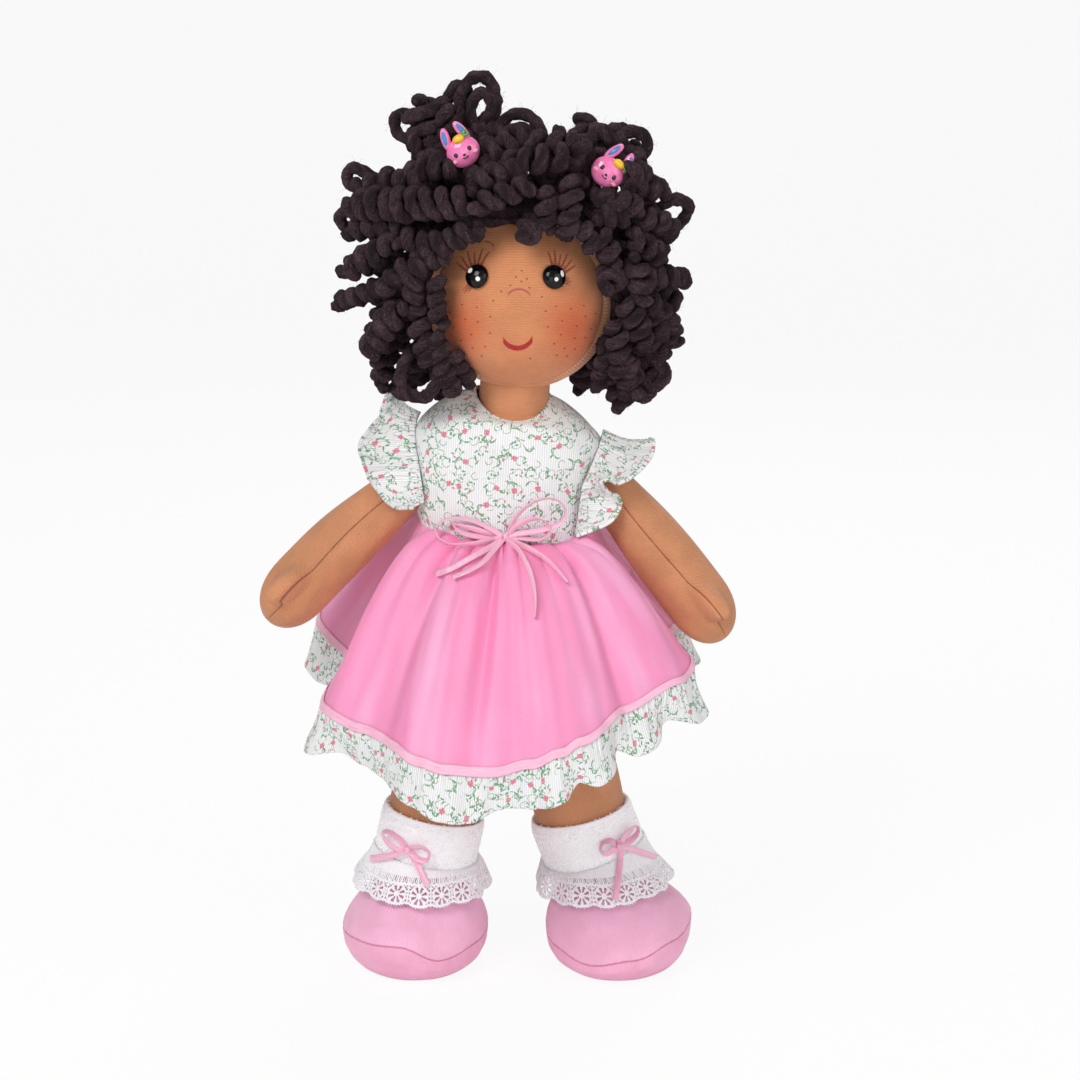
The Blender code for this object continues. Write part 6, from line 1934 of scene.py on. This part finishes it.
def make_charms(look):
    """A moulded rabbit head: a full oval face, two ears with coloured hollows, dot eyes, a nose and cheeks,
    and a
    little carrot with a leaf between the ears."""
    finishes = [plastic("Charm pink", look.charm, 0.16, 0.6),
                plastic("Charm blue", look.charm_blue, 0.2, 0.5),
                plastic("Charm yellow", look.charm_yellow, 0.2, 0.5),
                plastic("Charm green", look.charm_green, 0.2, 0.5),
                plastic("Charm dark", look.eye, 0.2, 0.5), plastic("Charm blush", look.charm_blush, 0.25,
                                                                   0.4)]
    shapes = (
        ((0, 0, 0), (0.0083, 0.0042, 0.0073), 0, 0), ((-0.0043, 0.0, 0.0092), (0.0023, 0.0021, 0.0056), 14,
                                                      0),
        ((0.0043, 0.0, 0.0092), (0.0023, 0.0021, 0.0056), -14, 0),
        ((-0.0045, -0.0014, 0.0097), (0.0012, 0.0011, 0.0036), 14, 1),
        ((0.0045, -0.0014, 0.0097), (0.0012, 0.0011, 0.0036), -14, 1),
        ((0.0012, -0.0028, 0.0066), (0.0030, 0.0020, 0.0021), 0, 2),
        ((0.0047, -0.0026, 0.0079), (0.0021, 0.0013, 0.0010), -24, 3),
        ((0.0049, -0.0026, 0.0067), (0.0019, 0.0012, 0.0009), 18, 3),
        ((-0.0036, -0.0036, 0.0004), (0.00105, 0.0006, 0.0012), 0, 4),
        ((0.0036, -0.0036, 0.0004), (0.00105, 0.0006, 0.0012), 0, 4),
        ((0.0, -0.0041, -0.0012), (0.0008, 0.0005, 0.0006), 0, 4),
        ((-0.0056, -0.0029, -0.0022), (0.0014, 0.0006, 0.0010), 0, 5),
        ((0.0056, -0.0029, -0.0022), (0.0014, 0.0006, 0.0010), 0, 5),
        ((-0.0008, -0.0040, -0.0026), (0.0009, 0.0004, 0.0003), 25, 4),
        ((0.0008, -0.0040, -0.0026), (0.0009, 0.0004, 0.0003), -25, 4),
    )
    for side, (place, tilt) in CHARMS.items():
        turned = turn_about(1, tilt)
        parts = []
        for middle, half, lean, material in shapes:
            own = turned @ turn_about(1, radians(lean))
            parts.append(ellipsoid(place + turned @ np.array(middle), np.array(half), own, 12, 24, material))
        build("charm_rabbit_" + side, parts, finishes, "head", ("rabbit_charm_" + side,))


def make_stage(look):
    """A pale floor that curves up behind, soft lamps and the camera. What the camera sees past the object
    is the
    backdrop's plain paleness, and the floor keeps the object's shadow."""
    floor = Finish("Pale floor", Roughness=0.9, Specular_IOR_Level=0.1)
    grain = floor.noise(floor.place(), 90.0, 3.0)
    floor.feed("Base Color", floor.mix(tone(look.floor, 0.985), look.floor, grain))
    paths = floor.node("LightPath", output="Is Camera Ray")
    glow = floor.node("Emission", {"Color": look.floor, "Strength": 1.0}, "Emission")
    share = bpy.context.scene.doll_sizes.floor_glow
    out = floor.tree.nodes["Material Output"]
    mixed = floor.node("MixShader", {"Fac": paths * share, 1: Socket(floor, floor.shader.outputs[0]),
                                     2: glow}, "Shader")
    floor.tree.links.new(mixed.link, out.inputs["Surface"])
    x = np.linspace(-6, 6, 25)[None]
    s = np.linspace(0, 1, 60)[:, None]
    bend = np.clip((s - 0.45) / 0.25, 0, 1) * pi / 2
    run = np.minimum(s, 0.45) / 0.45 * 6.0 - 3.5
    y = run + 1.2 * np.sin(bend)
    z = 1.2 * (1 - np.cos(bend)) + np.clip((s - 0.70) / 0.30, 0, 1) * 4.0
    part = skin(np.stack(np.broadcast_arrays(x, y, z), axis=-1), wrap=False, caps=False)
    mesh = bpy.data.meshes.new("studio_floor")
    mesh.from_pydata([tuple(p) for p in part.points], [], [tuple(q) for q in part.quads.tolist()])
    mesh.shade_smooth()
    mesh.materials.append(floor.material)
    made = bpy.data.objects.new("studio_floor", mesh)
    bpy.context.scene.collection.objects.link(made)
    lamp("Key", (-0.75, -1.15, 1.35), (0.0, 0.0, 0.24), 0.80, 15.0)
    lamp("Fill", (1.10, -1.00, 0.70), (0.0, 0.0, 0.22), 1.00, 5.0)
    lamp("Front", (0.05, -1.70, 0.45), (0.0, 0.0, 0.22), 0.90, 3.4)
    lamp("Behind", (0.30, 1.10, 1.20), (0.0, 0.0, 0.30), 0.80, 6.0)
    world = bpy.data.worlds.new("Soft room")
    world.use_nodes = True
    world.node_tree.nodes["Background"].inputs["Color"].default_value = (1.0, 1.0, 1.0, 1.0)
    world.node_tree.nodes["Background"].inputs["Strength"].default_value = 0.36
    bpy.context.scene.world = world
    view = bpy.data.cameras.new("Camera")
    view.lens = 90.0
    view.sensor_width = 36.0
    camera = bpy.data.objects.new("Camera", view)
    camera.location = (0.0213, -1.3141, 0.5237)
    camera.rotation_euler = (radians(77), 0.0, 0.0)
    bpy.context.scene.collection.objects.link(camera)
    bpy.context.scene.camera = camera
    bpy.context.scene.view_settings.view_transform = "Standard"


def lamp(name, place, target, size, power):
    """A square soft lamp that points at a target."""
    light = bpy.data.lights.new(name, "AREA")
    light.shape = "SQUARE"
    light.size = size
    light.energy = power
    made = bpy.data.objects.new(name, light)
    made.location = place
    ahead = np.array(place) - np.array(target)
    made.rotation_euler = (np.arctan2(hypot(ahead[0], ahead[1]), ahead[2]), 0.0,
                           np.arctan2(ahead[0], -ahead[1]))
    bpy.context.scene.collection.objects.link(made)


def colour_of(name, about, *screen):
    return FloatVectorProperty(name=name, description=about, default=srgb(*screen), subtype="COLOR", size=3,
                               min=0.0, max=1.0)


class DollColours(bpy.types.PropertyGroup):
    """The doll's cloths, yarn and drawn marks."""

    skin: colour_of("Face", "Knit of the face", 214, 142, 98)
    skin_pale: colour_of("Neck", "Knit of the neck and body", 208, 142, 102)
    skin_arm: colour_of("Arms", "Knit of the arms", 208, 144, 104)
    skin_leg: colour_of("Legs", "Knit of the legs", 205, 145, 105)
    # Painted shade that darkens the arms towards the shoulders.
    skin_shoulder_shade: colour_of("Shade", "Dye at the shoulders", 178, 92, 66)
    blush: colour_of("Blush", "Chalk on the cheeks", 204, 84, 48)
    lash: colour_of("Lashes", "Ink of lashes and brow", 150, 66, 54)
    nose: colour_of("Nose", "Ink of the nose", 176, 92, 84)
    mouth: colour_of("Mouth", "Paint of the mouth", 176, 30, 38)
    freckle: colour_of("Freckles", "Ink of the freckles", 150, 58, 44)
    # The yarn's two colours are a shaded copy, which also paints shade into its grooves, and a lit copy with painted
    # highlight on its fibres.
    hair: colour_of("Yarn", "Yarn in its grooves", 12, 7, 11)
    hair_lit_fibres: colour_of("Yarn fibres", "Yarn on its fibres", 104, 82, 86)
    dress: colour_of("Skirt", "Pink cotton of the skirt", 248, 150, 194)
    # Paler pink of the skirt's painted sheen bands.
    dress_sheen: colour_of("Skirt sheen", "Paler bands of the skirt's sheen", 253, 198, 232)
    shoe: colour_of("Shoes", "Ribbed knit of the shoes", 255, 190, 220)
    sole: colour_of("Soles", "Ribbed knit of the soles", 255, 184, 214)
    # Painted shade along the gathered seam of the shoes.
    shoe_seam_shade: colour_of("Shoe seam", "Thread of the shoe's seam", 214, 118, 156)
    ribbon: colour_of("Ribbon", "Satin of bows and hem", 255, 186, 212)
    cotton: colour_of("Cotton", "Ground of the print", 246, 246, 244)
    leaf: colour_of("Leaves", "Leaves and stems of the print", 92, 156, 104)
    flower: colour_of("Flowers", "Flowers of the print", 240, 116, 142)
    plush: colour_of("Plush", "Pile of the sock tops", 250, 250, 252)
    lace: colour_of("Lace", "Thread of the lace", 252, 252, 255)
    eye: colour_of("Eyes", "Plastic of the eyes", 6, 6, 8)
    eye_dot: colour_of("Eye dots", "Dots painted on the eyes", 244, 240, 234)
    washer: colour_of("Washers", "Plastic of the eye washers", 225, 225, 218)
    charm: colour_of("Charm", "Resin of the rabbit charms", 248, 128, 184)
    charm_blue: colour_of("Charm ears", "Inside of the charms' ears", 60, 132, 206)
    charm_yellow: colour_of("Charm carrot", "Carrot on the charms", 252, 196, 40)
    charm_green: colour_of("Charm leaf", "Leaf on the charms", 70, 160, 70)
    charm_blush: colour_of("Charm cheeks", "Cheeks of the charms", 250, 160, 190)
    floor: colour_of("Floor", "Floor and backdrop", 255, 255, 255)


class DollSizes(bpy.types.PropertyGroup):
    """Sizes of the cloths."""

    rib: FloatProperty(name="Rib", description="Distance between two ribs of the knit", default=0.00115,
                       min=0.0005, max=0.003, precision=5, unit="LENGTH", subtype="DISTANCE")
    floor_glow: FloatProperty(name="Backdrop", description="Share of the floor that shows as plain paleness",
                              default=0.90, min=0.0, max=1.0, subtype="FACTOR")


def piece_operator(key, label, words, work):
    """An Operator class that makes one piece or group of pieces."""

    def execute(self, context):
        work(context.scene.doll_colours)
        return {"FINISHED"}

    return type("DOLL_OT_" + key, (bpy.types.Operator,), {
        "__doc__": words, "bl_idname": "doll." + key, "bl_label": label, "execute": execute,
    })


PIECES = (
    piece_operator("head", "Head", "Stuffed ball of knit with the drawn face", make_head),
    piece_operator("body", "Body and neck", "Stuffed body and neck under the dress", make_neck_and_body),
    piece_operator("eyes", "Eyes", "Domed eyes with painted dots", make_eyes),
    piece_operator("washers", "Washers", "Finish of the washers that hold the eyes", make_washers),
    piece_operator("arms", "Arms", "Stuffed arms with sewn thumbs", make_arms),
    piece_operator("legs", "Legs", "Stuffed legs", make_legs),
    piece_operator("shoes", "Shoes", "Stuffed feet of ribbed pink knit", make_shoes),
    piece_operator("cuffs", "Sock tops", "White plush bands round the ankles", make_cuffs),
    piece_operator("laces", "Lace", "Gathered lace over the feet", make_laces),
    piece_operator("bodice", "Bodice", "Printed top of the dress", make_bodice),
    piece_operator("sleeves", "Sleeves", "Gathered frills over the shoulders", make_sleeves),
    piece_operator("skirt", "Skirt", "Gathered skirt with satin and frill at its hem", make_skirt),
    piece_operator("bows", "Bows", "Satin bows at the waist and on the socks", make_bows),
    piece_operator("cap", "Hair cap", "Wefts of yarn sewn round the head", make_cap),
    piece_operator("curls", "Curls", "Curled yarn round the face and head", make_curls),
    piece_operator("puffs", "Bunches", "Two bunches of yarn loops with their elastics", make_puffs),
    piece_operator("charms", "Charms", "Moulded rabbit charms", make_charms),
    piece_operator("stage", "Studio", "Floor, lamps and camera", make_stage),
)


class DOLL_PT_pieces(bpy.types.Panel):
    """Lists the doll's pieces, sizes and colours in the 3D view's sidebar."""

    bl_label = "Cloth doll"
    bl_space_type = "VIEW_3D"
    bl_region_type = "UI"
    bl_category = "Cloth doll"

    def draw(self, context):
        for piece in PIECES:
            self.layout.operator(piece.bl_idname)
        for group in (context.scene.doll_sizes, context.scene.doll_colours):
            for name in type(group).__annotations__:
                self.layout.prop(group, name)


CLASSES = (DollColours, DollSizes, *PIECES, DOLL_PT_pieces)


def register():
    for kind in CLASSES:
        bpy.utils.register_class(kind)
    bpy.types.Scene.doll_colours = PointerProperty(type=DollColours)
    bpy.types.Scene.doll_sizes = PointerProperty(type=DollSizes)


def unregister():
    del bpy.types.Scene.doll_sizes
    del bpy.types.Scene.doll_colours
    for kind in reversed(CLASSES):
        bpy.utils.unregister_class(kind)


def main():
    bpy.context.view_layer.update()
    register()
    for piece in PIECES:
        group, name = piece.bl_idname.split(".")
        getattr(getattr(bpy.ops, group), name)()
    bpy.context.view_layer.update()


if __name__ == "__main__":
    main()
